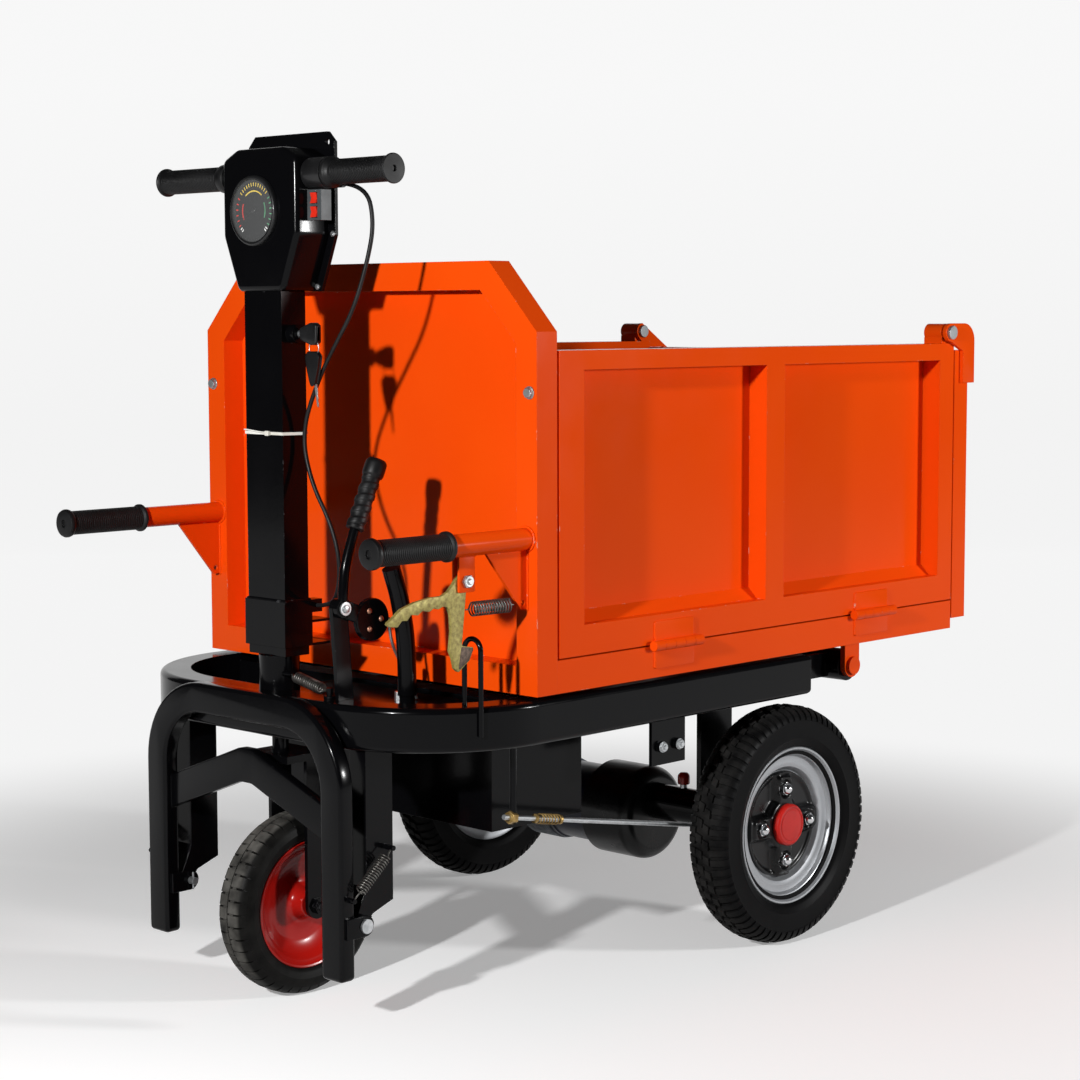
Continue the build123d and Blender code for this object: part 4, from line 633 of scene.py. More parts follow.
class BARROW_OT_stage(bpy.types.Operator):
    """Set the floor, the backdrop, the lamps and the camera"""
    bl_idname = "barrow.stage"
    bl_label = "Stage"

    def execute(self, context):
        scene = context.scene
        scene.view_settings.view_transform = "Standard"
        paper("paper_sweep", scene.barrow_colours.backdrop)
        away = Vector((0.72, 0.694, 0)).normalized()
        across = Vector((away.y, -away.x, 0))
        bend, turn_at, half_wide = 1.5, 6.5, 9
        line = [(-9, 0)] + [(turn_at + x, bend + y) for x, y in arc(bend, -90, 0, 12)] + [(8, 6)]
        points = [away * out + across * wide + Vector((0, 0, up))
                  for out, up in line for wide in (half_wide, -half_wide)]
        mesh = bpy.data.meshes.new("paper_sweep")
        mesh.from_pydata(points, [], [(i, i + 1, i + 3, i + 2) for i in range(0, len(points) - 2, 2)])
        mesh.shade_smooth()
        mesh.materials.append(finishes["paper_sweep"])
        floor = bpy.data.objects.new("paper_sweep", mesh)
        scene.collection.objects.link(floor)

        scene.world = bpy.data.worlds.new("studio")
        scene.world.use_nodes = True
        tree = scene.world.node_tree
        tree.nodes.clear()
        ray = node(tree, "ShaderNodeLightPath").outputs["Is Camera Ray"]
        tone = node(tree, "ShaderNodeMapRange", {"Value": ray, "To Min": 0.04, "To Max": 0.9})
        sky = node(tree, "ShaderNodeBackground", {"Color": linear("#FFFFFF"), "Strength": tone})
        node(tree, "ShaderNodeOutputWorld", {"Surface": sky})

        sizes = scene.barrow_sizes
        for name, spot, aim, size, power in (
                ("left_lamp", (-3.08, -0.92, 1.5), (-0.2, 0.0, 0.7), 0.12, sizes.left_lamp),
                ("right_lamp", (1.75, -3.45, 1.2), (0.1, -0.3, 0.6), 0.4, sizes.right_lamp)):
            light = bpy.data.lights.new(name, "AREA")
            light.shape, light.size, light.energy = "DISK", size, power
            lamp = bpy.data.objects.new(name, light)
            lamp.location = spot
            lamp.rotation_euler = (Vector(aim) - lamp.location).to_track_quat("-Z", "Y").to_euler()
            scene.collection.objects.link(lamp)

        around, above, roll = math.radians(-46.03), math.radians(5.43), math.radians(-0.14)
        target, distance = (-0.1112, -0.1068, 0.6993), 3.965
        data = bpy.data.cameras.new("camera")
        data.lens, data.sensor_width = sizes.lens, 36
        camera = bpy.data.objects.new("camera", data)
        camera.matrix_world = (
            Matrix.Translation(target) @ Matrix.Rotation(around, 4, "Z")
            @ Matrix.Rotation(math.pi / 2 - above, 4, "X") @ Matrix.Rotation(roll, 4, "Z")
            @ Matrix.Translation((0, 0, distance)))
        scene.collection.objects.link(camera)
        scene.camera = camera
        return {"FINISHED"}


CABLE_POINTS = (
    (-0.565, -0.1356, 1.273), (-0.566, -0.188, 1.267), (-0.566, -0.204, 1.212), (-0.569, -0.191, 1.154),
    (-0.576, -0.167, 1.083), (-0.581, -0.130, 1.030), (-0.584, -0.092, 0.975), (-0.583, -0.052, 0.895),
    (-0.581, -0.070, 0.820), (-0.576, -0.112, 0.755), (-0.572, -0.126, 0.700), (-0.564, -0.112, 0.650),
    (-0.552, -0.080, 0.626), (-0.552, -0.0486, 0.624))


class BARROW_OT_throttle_cable(bpy.types.Operator):
    """Hang the throttle cable from its case to the socket on the column"""
    bl_idname = "barrow.throttle_cable"
    bl_label = "Throttle cable"

    def execute(self, context):
        data = bpy.data.curves.new("throttle_cable_sleeve", "CURVE")
        data.dimensions = "3D"
        data.bevel_depth = 3.4 * MM
        data.bevel_resolution = 4
        data.use_fill_caps = True
        line = data.splines.new("NURBS")
        line.points.add(len(CABLE_POINTS) - 1)
        for point, where in zip(line.points, CABLE_POINTS):
            point.co = (*where, 1.0)
        line.order_u = 3
        line.use_endpoint_u = True
        line.resolution_u = 8
        data.materials.append(finishes["cable_sleeve"])
        cable = bpy.data.objects.new("throttle_cable_sleeve", data)
        context.scene.collection.objects.link(cable)
        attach(cable, "steering")
        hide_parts("throttle_cable")
        return {"FINISHED"}


DRIVE_WALL = [
    (122, 25), (128, 26.5), (134.6, 28.5), (137, 32.5), (142, 36), (149, 38.4), (151, 39.5), (153, 38.9),
    (166, 39.8), (178, 38.6), (181, 39.2), (183, 38.2), (189, 35.5), (194, 31), (197, 24), (198.8, 12),
    (199.4, 0)]
DRIVE_LUG = (
    (6, 15.5), (13.3, 15.5), (11, 24), (7.6, 31), (2, 36.2), (-5, 39.3), (-8.5, 39.9), (-8.5, 37),
    (0, 32))
DRIVE_BLOCK = ((-8, 1.2), (5, 1.2), (9, 13), (-4, 13))
GUIDE_WALL = [
    (92, 23), (97, 24.5), (102.6, 26.5), (105, 29.5), (110, 32), (117, 33.6), (119, 34.2), (121, 33.6),
    (128, 32.8), (133, 30.6), (137, 27), (139.5, 20), (140.6, 10), (141, 0)]
GUIDE_BLOCK = (
    (8, 1.3), (15.8, 1.3), (15.5, 12), (14, 19.5), (11, 24.6), (7, 28.4), (2, 31.4), (0, 29.5),
    (4, 25.5), (6.5, 19))
GUIDE_WEB = ((8, 3.5), (13.6, 3.5), (13.3, 12), (9, 12))


class BARROW_OT_tyres(bpy.types.Operator):
    """Mould the drive tyres and the guide tyre with their treads"""
    bl_idname = "barrow.tyres"
    bl_label = "Tyres"

    def execute(self, context):
        lugs, blocks = context.scene.barrow_sizes.drive_lugs, context.scene.barrow_sizes.guide_blocks
        upright, flat = place((0, 0, 0), (0, 1, 0)), place((0, 0, 0), (1, 0, 0), (0, 1, 0))
        drive_r, guide_r = 190.0, 130.0
        for word, side in SIDES:
            where = wheel_place(f"drive_wheel_{word}_spin", side)
            steps = [(turn, mirrored(DRIVE_WALL), where, 120)]
            for hand in (1, -1):
                lug = [(x, -hand * w) for x, w in DRIVE_LUG]
                block = [(y * hand, w * hand) for y, w in DRIVE_BLOCK]
                between = where @ Matrix.Rotation(hand * math.pi / (2 * lugs), 4, "Z")
                steps.append(ringed(lug, -5.2, 5.2, upright, where, "drive_rubber", lugs, drive_r))
                steps.append(ringed(block, 6.5, 14.4, flat, between, "drive_rubber", lugs * 2 // 3,
                                    drive_r))
            piece(f"drive_tyre_moulded_{word}", shape(*steps), "drive_rubber", f"drive_wheel_{word}",
                  [f"drive_tyre_{word}"], 30)
        where = wheel_place("guide_wheel_spin", -1)
        steps = [(turn, mirrored(GUIDE_WALL), where, 96)]
        for hand in (1, -1):
            between = where @ Matrix.Rotation(hand * math.pi / (2 * blocks), 4, "Z")
            for outline, low, high in ((GUIDE_BLOCK, -8.7, 8.7), (GUIDE_WEB, 8, 13)):
                steps.append(ringed([(x, -hand * w) for x, w in outline], low, high, upright, between,
                                    "guide_rubber", blocks, guide_r))
        piece("guide_tyre_moulded", shape(*steps), "guide_rubber", "guide_wheel", ["guide_tyre"],
              30)
        return {"FINISHED"}


def fade(value, limit, width):
    """Goes softly from 1 to 0 where a value passes a limit."""
    return 1 / (1 + math.exp((value - limit) / width))


def hub_casting(bm, where):
    """Cast hub as a height field about the axle: a round boss, four broad arms with sunk nut seats,
    pockets between them, and an outer ring that sits on the rim."""
    rows, steps, inner, outer, nut_circle, back = 44, 144, 20, 91.5, 62, 1.6
    rings = []
    for row in range(rows + 1):
        radius = inner + (outer - inner) * row / rows
        ring = []
        for x, y in circle(radius, steps):
            along, off = max(abs(x), abs(y)), min(abs(x), abs(y))
            arm = fade(off, 23 - 0.05 * radius, 1.6)
            edge = fade(84, radius, 1.0)
            height = 3.0 + 14.5 * max(arm * (1 - 0.3 * edge), fade(radius, 45, 1.6))
            height += 4.0 * edge * (1 - arm) - 7.0 * fade(math.hypot(along - nut_circle, off), 15.0, 0.6)
            ring.append(where @ Vector((x, y, height if row < rows else 2.2)))
        rings.append(ring)
    for radius in (outer, inner):
        rings.append([where @ Vector((x, y, back)) for x, y in circle(radius, steps)])
    loft(bm, rings, closed=True)


DRIVE_RIM = (
    (125, 25), (130, 26.5), (134.2, 27.5), (135.2, 29.4), (133.8, 31.2), (131, 30.8), (128.5, 27),
    (126.5, 23.5), (123, 22.2), (120.5, 21), (119.4, 17.5), (117, 14.4), (111, 13), (107, 13.6),
    (103, 13.2), (99, 12), (96.4, 9), (94.6, 4.5), (92, 2.4), (60, 2.0), (30, 2.0), (30, -3), (88, -3),
    (98, 4), (112, 6), (116.5, 0), (117, -26), (124, -27), (131, -28.5), (134, -30.4), (135, -29),
    (133.6, -26.8), (125, -25.4))
HUB_CAP = (
    (0, 14), (35.6, 14), (36, 24), (35.2, 27), (32.5, 29.4), (30.5, 29.6), (29.8, 28.4), (27, 28.4),
    (26, 29.4), (18, 29.9), (0, 30))
GUIDE_RIM = [
    (95, 24), (98.5, 24.8), (102, 26), (102.8, 28), (101.2, 29.3), (98.4, 28.4), (95.6, 25),
    (91.5, 23.4), (88.6, 21.5), (86.5, 17), (80, 11.5), (66, 5.2), (60, 3.6), (48, 3.2),
    (34, 4.6), (28, 7), (24, 12), (21.5, 22), (20.4, 28.5), (18.6, 30), (8.1, 30)]


class BARROW_OT_wheels(bpy.types.Operator):
    """Form the drive rims, cast hubs, dome nuts and caps, and the guide rim"""
    bl_idname = "barrow.wheels"
    bl_label = "Wheels"

    def execute(self, context):
        dome = [(0, 18)] + [(9.6 * x, 19 + 9.4 * y) for x, y in arc(1, 0, 75, 5)] + [(0, 28.4)]
        for word, side in SIDES:
            body = f"drive_wheel_{word}"
            where = wheel_place(f"{body}_spin", side)
            nut = shape((slab, hexagon(20), 10, 19, HERE), (turn, dome, HERE, 20, False),
                        (turn, [(0, 9), (13, 9), (13, 10.4), (0, 10.8)], HERE, 24, False))
            rim, cap = (turn, DRIVE_RIM, where, 128), (turn, HUB_CAP, where, 72, False)
            hub = (hub_casting, where)
            nuts = (grown, circle_tree, [], nut, where, "chrome_plate", {"Count": 4, "Radius": 62.0})
            for name, made, step, finish, slot, sharp in (
                    ("drive_rim", "spun", rim, "silver_flake", "silver_rim", 32),
                    ("drive_hub", "cast", hub, "cast_black", "black_paint", 50),
                    ("hub_nuts", "domed", nuts, "chrome_plate", "chrome", 32),
                    ("hub_cap", "moulded", cap, "cap_red", "red_plastic", 30)):
                piece(f"{name}_{made}_{word}", shape(step), finish, body, [f"{name}_{word}"],
                      sharp)
        where = wheel_place("guide_wheel_spin", -1)
        piece("guide_rim_pressed", shape((turn, mirrored(GUIDE_RIM), where, 96)), "red_enamel",
              "guide_wheel", ["guide_rim"], 32)
        return {"FINISHED"}


def ribbed_grip(where, section, rib_r, ribs_from, ribs_to, pitch):
    """Steps of a slip-on grip: a turned body with rings of rib along it."""
    ring = [(rib_r - 1.6, -1.3), (rib_r - 0.2, -1.0), (rib_r, 0), (rib_r - 0.2, 1.0), (rib_r - 1.6, 1.3)]
    line = [where @ Vector((0, 0, ribs_from)), where @ Vector((0, 0, ribs_to))]
    rib = shape((turn, ring, HERE, 40))
    return [(turn, section, where, 48, False), rowed(line, rib, "grip_vinyl", pitch)]


BAR_GRIP_LENGTH = 168
BAR_COLLAR = [(11.2, 0), (21.6, 0), (22.5, 1.2), (22.5, 16.5), (21.5, 18), (18.6, 19.5), (18.2, 22)]
THROTTLE_COLLAR = [(11.2, 0), (23.2, 0), (24, 1), (24, 7.5), (22.8, 9), (19, 12), (18.2, 15)]
BAR_TIP = ((18.2, -8), (19, -6), (21.8, -4.5), (22.5, -3), (22.5, -1.4), (21.4, -0.2), (18, 0), (5, 0),
           (4.6, -0.6), (4.6, -3.4), (0, -3.4))
PUSH_COLLAR = [(17.2, 0), (21.5, 0), (22.8, 1.2), (22.8, 4.5), (21.6, 6), (18.4, 8), (18.2, 10)]
PUSH_TIP = ((18.2, -14), (19.5, -12), (22.2, -10), (23, -7.5), (23, -4), (21.5, -1), (18, 0), (7, 0),
            (6, -1.5), (6, -3), (0, -3))


class BARROW_OT_grips(bpy.types.Operator):
    """Slip the ribbed grips on the push handles and the handlebar"""
    bl_idname = "barrow.grips"
    bl_label = "Grips"

    def execute(self, context):
        pitch = context.scene.barrow_sizes.rib_pitch / MM
        low, high = span("push_grips")
        reach, radius = high.x - low.x, 23
        section = PUSH_COLLAR + [(r, reach + h) for r, h in PUSH_TIP]
        steps = []
        for y in (low.y + radius, high.y - radius):
            where = place((high.x, y, (low.z + high.z) / 2), (-1, 0, 0), (0, 1, 0))
            steps += ribbed_grip(where, section, 19.6, 11, reach - 15, pitch)
        piece("push_grips_ribbed", shape(*steps), "grip_vinyl", "box", ["push_grips"], 40)
        for name, body, side, collar, ribs_from in (
                ("bar_grip", "steering", 1, BAR_COLLAR, 25),
                ("throttle_grip", "twist_grip", -1, THROTTLE_COLLAR, 18)):
            low, high = span(name)
            reach = BAR_GRIP_LENGTH if side > 0 else high.y - low.y
            root = high.y - reach if side > 0 else high.y
            where = place(((low.x + high.x) / 2, root, (low.z + high.z) / 2), (0, side, 0))
            section = collar + [(r, reach + h) for r, h in BAR_TIP]
            grip = shape(*ribbed_grip(where, section, 19.3, ribs_from, reach - 10, pitch))
            piece(f"{name}_ribbed", grip, "grip_vinyl", body, [name], 40)
        return {"FINISHED"}


# Rows of plain marks: radius, first and last angle, count, length and width
GAUGE_MARKS = (
    ("gauge_top_marks", "dial_yellow", (40, 138, 42, 13, 5.5, 1.5), (30, 128, 52, 26, 2.2, 1.8)),
    ("gauge_low_marks", "dial_red", (40, 152, 214, 6, 5, 1.8), (27, 158, 206, 14, 2.6, 2.0)),
    ("gauge_high_marks", "dial_green", (40, 28, -32, 6, 5, 1.6), (27, 24, -22, 14, 2.0, 1.9)),
    ("gauge_end_marks", "dial_white", (40, 222, 228, 2, 5, 1.8), (40, -42, -48, 2, 5, 1.8)),
)
GAUGE_RING = (
    (47.5, 0), (53.8, 0), (54, 3), (53.4, 5.6), (51.8, 7.4), (50, 7.8), (48.6, 7.2), (48.2, 5.4),
    (47.6, 3))
GAUGE_FACE = ((0, 0.2), (48.4, 0.2), (48.4, 4.4), (45.5, 4.4), (43.5, 2.6), (0, 2.6))
NEEDLE_ANGLE = 205


class BARROW_OT_gauge(bpy.types.Operator):
    """Fit the battery gauge: dial, marks, ring and clear front"""
    bl_idname = "barrow.gauge"
    bl_label = "Gauge"

    def execute(self, context):
        low, high = span("gauge_bezel")
        where = place((high.x, (low.y + high.y) / 2, (low.z + high.z) / 2), (-1, 0, 0), (0, -1, 0))

        def turned(angle):
            return where @ Matrix.Rotation(math.radians(angle), 4, "Z")

        piece("gauge_ring", shape((turn, GAUGE_RING, where, 96)), "moulded_black", "steering",
              ["gauge_bezel"], 40)
        piece("gauge_face", shape((turn, GAUGE_FACE, where, 96, False)), "dial_black", "steering",
              ["gauge_dial"], 40)
        for name, finish, *rows in GAUGE_MARKS:
            steps = []
            for radius, start, end, count, long, wide in rows:
                mark = box_outline(radius - long / 2, radius + long / 2, -wide / 2, wide / 2)
                steps += [(slab, mark, 2.5, 2.75, turned(start + (end - start) * i / (count - 1)))
                          for i in range(count)]
            piece(name, shape(*steps), finish, "steering")
        needle = [(-7, -1.1), (33, -0.4), (33, 0.4), (-7, 1.1)]
        hub = [(0, 2.6), (3.6, 2.6), (3.6, 4.4), (2.8, 5), (0, 5)]
        piece("gauge_needle", shape((slab, needle, 3.4, 3.9, turned(NEEDLE_ANGLE)),
                                    (turn, hub, where, 24, False)), "moulded_black", "steering")
        front = [(48, 6.0), (48, 7.0), (40, 8.0), (24, 9.0), (0, 9.5)]
        front += [(max(r - 1, 0), h - 1.2) for r, h in reversed(front[1:])]
        piece("gauge_front", shape((turn, front, where, 96, False)), "clear_lens", "steering")
        return {"FINISHED"}


def framed_wall(bm, xs, zs, bays, outer, inner, sheet, foot):
    """Wall of a grid of cells between two faces. Bays are cells sunk to a sheet with a sloped foot."""
    def face(points):
        bm.faces.new([bm.verts.new(p) for p in points])

    def strips(x0, x1, *line):
        for (y0, z0), (y1, z1) in zip(line, line[1:]):
            face(((x0, y0, z0), (x1, y0, z0), (x1, y1, z1), (x0, y1, z1)))

    toe = sheet + math.copysign(foot, outer - inner)
    for j, (z0, z1) in enumerate(zip(zs, zs[1:])):
        for x in (xs[0], xs[-1]):
            face(((x, outer, z0), (x, outer, z1), (x, inner, z1), (x, inner, z0)))
        sunk = ((outer, z0), (toe, z0), (sheet, z0 + foot), (sheet, z1), (outer, z1))
        for i, (x0, x1) in enumerate(zip(xs, xs[1:])):
            strips(x0, x1, (inner, z0), (inner, z1))
            if (i, j) in bays:
                strips(x0, x1, *sunk)
                for x in (x0, x1):
                    face([(x, y, z) for y, z in sunk])
            else:
                strips(x0, x1, (outer, z0), (outer, z1))
    for x0, x1 in zip(xs, xs[1:]):
        for z in (zs[0], zs[-1]):
            strips(x0, x1, (outer, z), (inner, z))


class BARROW_OT_box_sides(bpy.types.Operator):
    """Weld up the box's side walls with their sunk panels, and hang them on their hinges"""
    bl_idname = "barrow.box_sides"
    bl_label = "Box sides"

    def execute(self, context):
        hinge = axle("tailgate_swing")
        leaf = rounded(box_outline(-47, 47, -38, 38), 3, 3)
        barrel_r, groove_r, half = 8.5, 7.6, 59
        knuckles = [(0, -half), (groove_r, -half), (barrel_r, 1 - half)]
        for split in (-36, -12, 12, 36):
            knuckles += [(barrel_r, split - 0.7), (groove_r, split), (barrel_r, split + 0.7)]
        knuckles += [(barrel_r, half - 1), (groove_r, half), (0, half)]
        hinges = []
        for word, side in SIDES:
            low, high = span(f"drop_side_{word}")
            top, seam = hinge.z - 20, low.z - 1.25
            outer, inner = (high.y, low.y) if side > 0 else (low.y, high.y)
            xs = (low.x, low.x + 55, low.x + 500, low.x + 548, high.x - 43, high.x)
            zs = (low.z, low.z + 47, top - 30, top)
            start, end = sorted((side * 352, side * 390))
            pad = box_outline(hinge.x - 14, hinge.x + 14, start, end)
            bush = [(8.6, start), (15, start), (16, start + 1), (16, end - 1), (15, end), (8.6, end)]
            wall = shape((framed_wall, xs, zs, ((1, 1), (3, 1)), outer, inner, outer - side * 37, 18),
                         (slab, pad, top, hinge.z - 8.6, HERE),
                         (turn, bush, place((hinge.x, 0, hinge.z), (0, 1, 0)), 40))
            piece(f"drop_side_welded_{word}", wall, "orange_enamel", "box",
                  [f"drop_side_{word}"], 30)
            for x in (low.x + 265, low.x + 795):
                rod = place((x, outer + side * barrel_r, seam), (1, 0, 0), (0, 1, 0))
                hinges += [(slab, leaf, 0, 3, place((x, outer, seam), (0, side, 0)), 0.6),
                           (turn, knuckles, rod, 28, False)]
        piece("side_hinges_welded", shape(*hinges), "orange_enamel", "box",
              ["side_hinges"], 34)
        return {"FINISHED"}


HOOK_FACES, HOOK_THICK = (-393.5, 351.5), 8     # where the right and left hook plates lie


class BARROW_OT_plates(bpy.types.Operator):
    """Cut the tailgate's hanging hooks and the latch's square ears"""
    bl_idname = "barrow.plates"
    bl_label = "Hooks and ears"

    def execute(self, context):
        hinge, bolt = axle("tailgate_swing"), axle("latch_pull")
        tail, gate = span("tailgate_hooks")[1].x, span("tailgate")[1]
        eye_r = 16.5
        eye = [(hinge.x + x, hinge.z + z) for x, z in arc(eye_r, 90, 270, 16)]
        crown, lowest = hinge.z + eye_r, hinge.z - 92
        shoulder = rounded([(tail, hinge.z - 60), (tail, crown), (tail - 70, crown)], (0, 32, 0), 10)
        right = [(tail - 36, lowest), (tail, lowest)] + shoulder + eye + [(tail - 36, hinge.z - 34)]
        seat = gate.z + 0.3
        left = [(tail, seat), (hinge.x + 15, hinge.z + 7)] + eye[:13] + [(hinge.x + 10, seat)]
        leg = box_outline(gate.x + 0.3, tail, lowest, gate.z + 1.5)
        steps = [(slab, outline, 0, HOOK_THICK, place((0, y, 0), (0, -1, 0)), 0.8)
                 for outline, y in zip((right, left, leg), (*HOOK_FACES, HOOK_FACES[1]))]
        for y in HOOK_FACES:
            pin = [(hinge.x, y + along, hinge.z) for along in (0, 42, 43)]
            steps.append((bar, pin, (8, 8, 7), 28))
        piece("tailgate_hooks_cut", shape(*steps), "orange_enamel", "gate",
              ["tailgate_hooks"], 34)
        ear = rounded(box_outline(-16.4, 16.4, -16.4, 44), 2.5, 3)
        ears = [(slab, ear, 0, 4.2, place((bolt.x, y, bolt.z), (0, -1, 0)), 0.7)
                for y in (-354.4, -365.4)]
        piece("latch_ears", shape(*ears), "orange_enamel", "box", (), 34)
        return {"FINISHED"}


class BARROW_OT_step(bpy.types.Operator):
    """Bend the step's arch with its brace and pin ears"""
    bl_idname = "barrow.step"
    bl_label = "Step"

    def execute(self, context):
        low, high = span("step_frame")
        pin = axle("step_fold")
        deep, tube, half, ear_r = 28, 48, 237, 16
        clear = half - tube
        face = place((low.x + deep, 0, 0), (-1, 0, 0), (0, -1, 0))
        arch = [(half, low.z), (half, high.z), (-half, high.z), (-half, low.z), (-clear, low.z),
                (-clear, high.z - tube), (clear, high.z - tube), (clear, low.z)]
        brace = [(-192, 285), (-14, 352), (14, 352), (192, 285), (192, 339), (14, 406), (-14, 406),
                 (-192, 339)]
        ear = [(pin.x + x, pin.z + z) for x, z in arc(ear_r, -90, 90, 14)]
        ear = [(low.x + 8, pin.z - ear_r)] + ear + [(low.x + 8, pin.z + ear_r)]
        steps = [(slab, rounded(arch, (8, 135, 135, 8, 8, 87, 87, 8), 14), 0, deep, face, 6, 4),
                 (slab, rounded(brace, (0, 30, 30, 0, 0, 30, 30, 0), 4), 0, 16, face, 2)]
        steps += [(slab, ear, 0, 6, place((0, y, 0), (0, -1, 0)), 0.8) for y in (243, 189, -183, -237)]
        stud_x, stud_y, stud_z, stud_r = -659, 234, 206, 4
        steps += [(bar, [(stud_x, side * y, stud_z) for y in (stud_y, high.y)], stud_r, 20)
                  for side in (1, -1)]
        piece("step_arch", shape(*steps), "black_enamel", "step", ["step_frame"], 34)
        return {"FINISHED"}


class BARROW_OT_head(bpy.types.Operator):
    """Mould the glossy shell of the steering head"""
    bl_idname = "barrow.head"
    bl_label = "Head shell"

    def execute(self, context):
        low, high = span("head_cover")
        face = place((high.x, 0, 0), (-1, 0, 0), (0, -1, 0))
        narrow, wide, bend, shoulder = 54, 88, 1197, high.z - 16
        half = [(narrow, low.z), (wide, bend), (wide, shoulder), (narrow, high.z)]
        outline = half + [(-y, z) for y, z in reversed(half)]
        shell = rounded(outline, (12, 30, 14, 20, 20, 14, 30, 12), 6)
        piece("head_shell", shape((slab, shell, -5.5, high.x - low.x, face, 8, 5)), "black_enamel",
              "steering", ["head_cover"], 40)
        return {"FINISHED"}


LATCH_OUTLINE = (
    (-155, -58), (-144, -51), (-126, -37), (-100, -28), (-69, -22), (-47, -21), (-34, -15), (-26, -7),
    (-18, 3), (-11, 10), (0, 13), (9, 9), (13, 0), (10, -9), (3, -15), (2, -33), (0, -63), (-2, -96),
    (23.5, -99), (15, -118), (-7, -135), (-15, -129), (-20, -114), (-26, -103), (-24, -73), (-27, -49),
    (-33, -38), (-43, -36), (-52, -40), (-61, -38), (-70, -43), (-84, -41), (-92, -47), (-106, -46),
    (-113, -54), (-124, -54), (-132, -63), (-146, -62))


class BARROW_OT_latch(bpy.types.Operator):
    """Stamp the box latch with its hook and its scalloped squeeze handle, and bolt it in its ears"""
    bl_idname = "barrow.latch"
    bl_label = "Latch"

    def execute(self, context):
        bolt = axle("latch_pull")
        where = place(bolt, (0, -1, 0)) @ Matrix.Rotation(math.radians(-3), 4, "Z")
        plate = rounded(LATCH_OUTLINE[::-1], 3, 2)
        # the barb is drawn flat in the latch's plane and given darker zinc as painted shade, standing in
        # for a tang bent away from the light
        barb = rounded([(-3, -97), (-8, -133), (14, -117.5), (22, -100)], 2, 2)
        piece("latch_stamped", shape((slab, plate, -3, 3, where, 0.5)), "yellow_zinc", "latch",
              ["latch_lever"], 34)
        piece("latch_barb", shape((slab, barb, -3.5, 3.5, where, 0.5)), "zinc_painted_shade", "latch",
              (), 34)
        self.spring(bolt)
        thread = [(0, 5), (4.4, 5), (4.4, 8), (3.6, 9), (0, 9)]
        steps = []
        for side in (1, -1):
            end = place(bolt + Vector((0, 7.5 * side, 0)), (0, side, 0))
            steps += [(hex_head, end, 17.5, 6), (turn, thread, end, 20, False)]
        piece("latch_bolt", shape(*steps), "zinc_plate", "box", (), 34)
        return {"FINISHED"}

    def spring(self, bolt):
        """Coil the return spring from the latch to the handle's gusset."""
        low, high = span("latch_spring")
        near = Vector((low.x, bolt.y, (low.z + high.z) / 2))
        far = Vector((high.x, -370, (low.z + high.z) / 2))
        way = place(near, far - near, (0, 0, 1))
        reach = (far - near).length
        turns, parts, coil_r, wire_r = 14, 16, 10.2, 1.25
        spiral = arc(coil_r, 0, 360 * turns, turns * parts)
        coil = [(x, y, 12 + (reach - 22) * i / (turns * parts)) for i, (x, y) in enumerate(spiral)]
        line = [(0, 0, 1), (0, 0, 6)] + coil + [(0, 0, reach - 5), (0, 0, reach - 1)]
        made = piece("latch_spring_coiled", shape((bar, [way @ Vector(p) for p in line], wire_r, 8)),
                     "spring_steel", None, ["latch_spring"], 60)
        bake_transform(made)


def spiral_grip(bm, where, reach, radius, depth, turns):
    """Rubber sleeve whose surface rises and sinks in a spiral."""
    rows, steps = 120, 36
    rings = []
    for row in range(rows + 1):
        ring = []
        for i, (x, y) in enumerate(circle(1, steps)):
            wave = math.cos(2 * math.pi * (i / steps - turns * row / rows))
            size = radius + depth * math.tanh(2.5 * wave)
            ring.append(where @ Vector((size * x, size * y, reach * row / rows)))
        rings.append(ring)
    loft(bm, rings, capped=True)


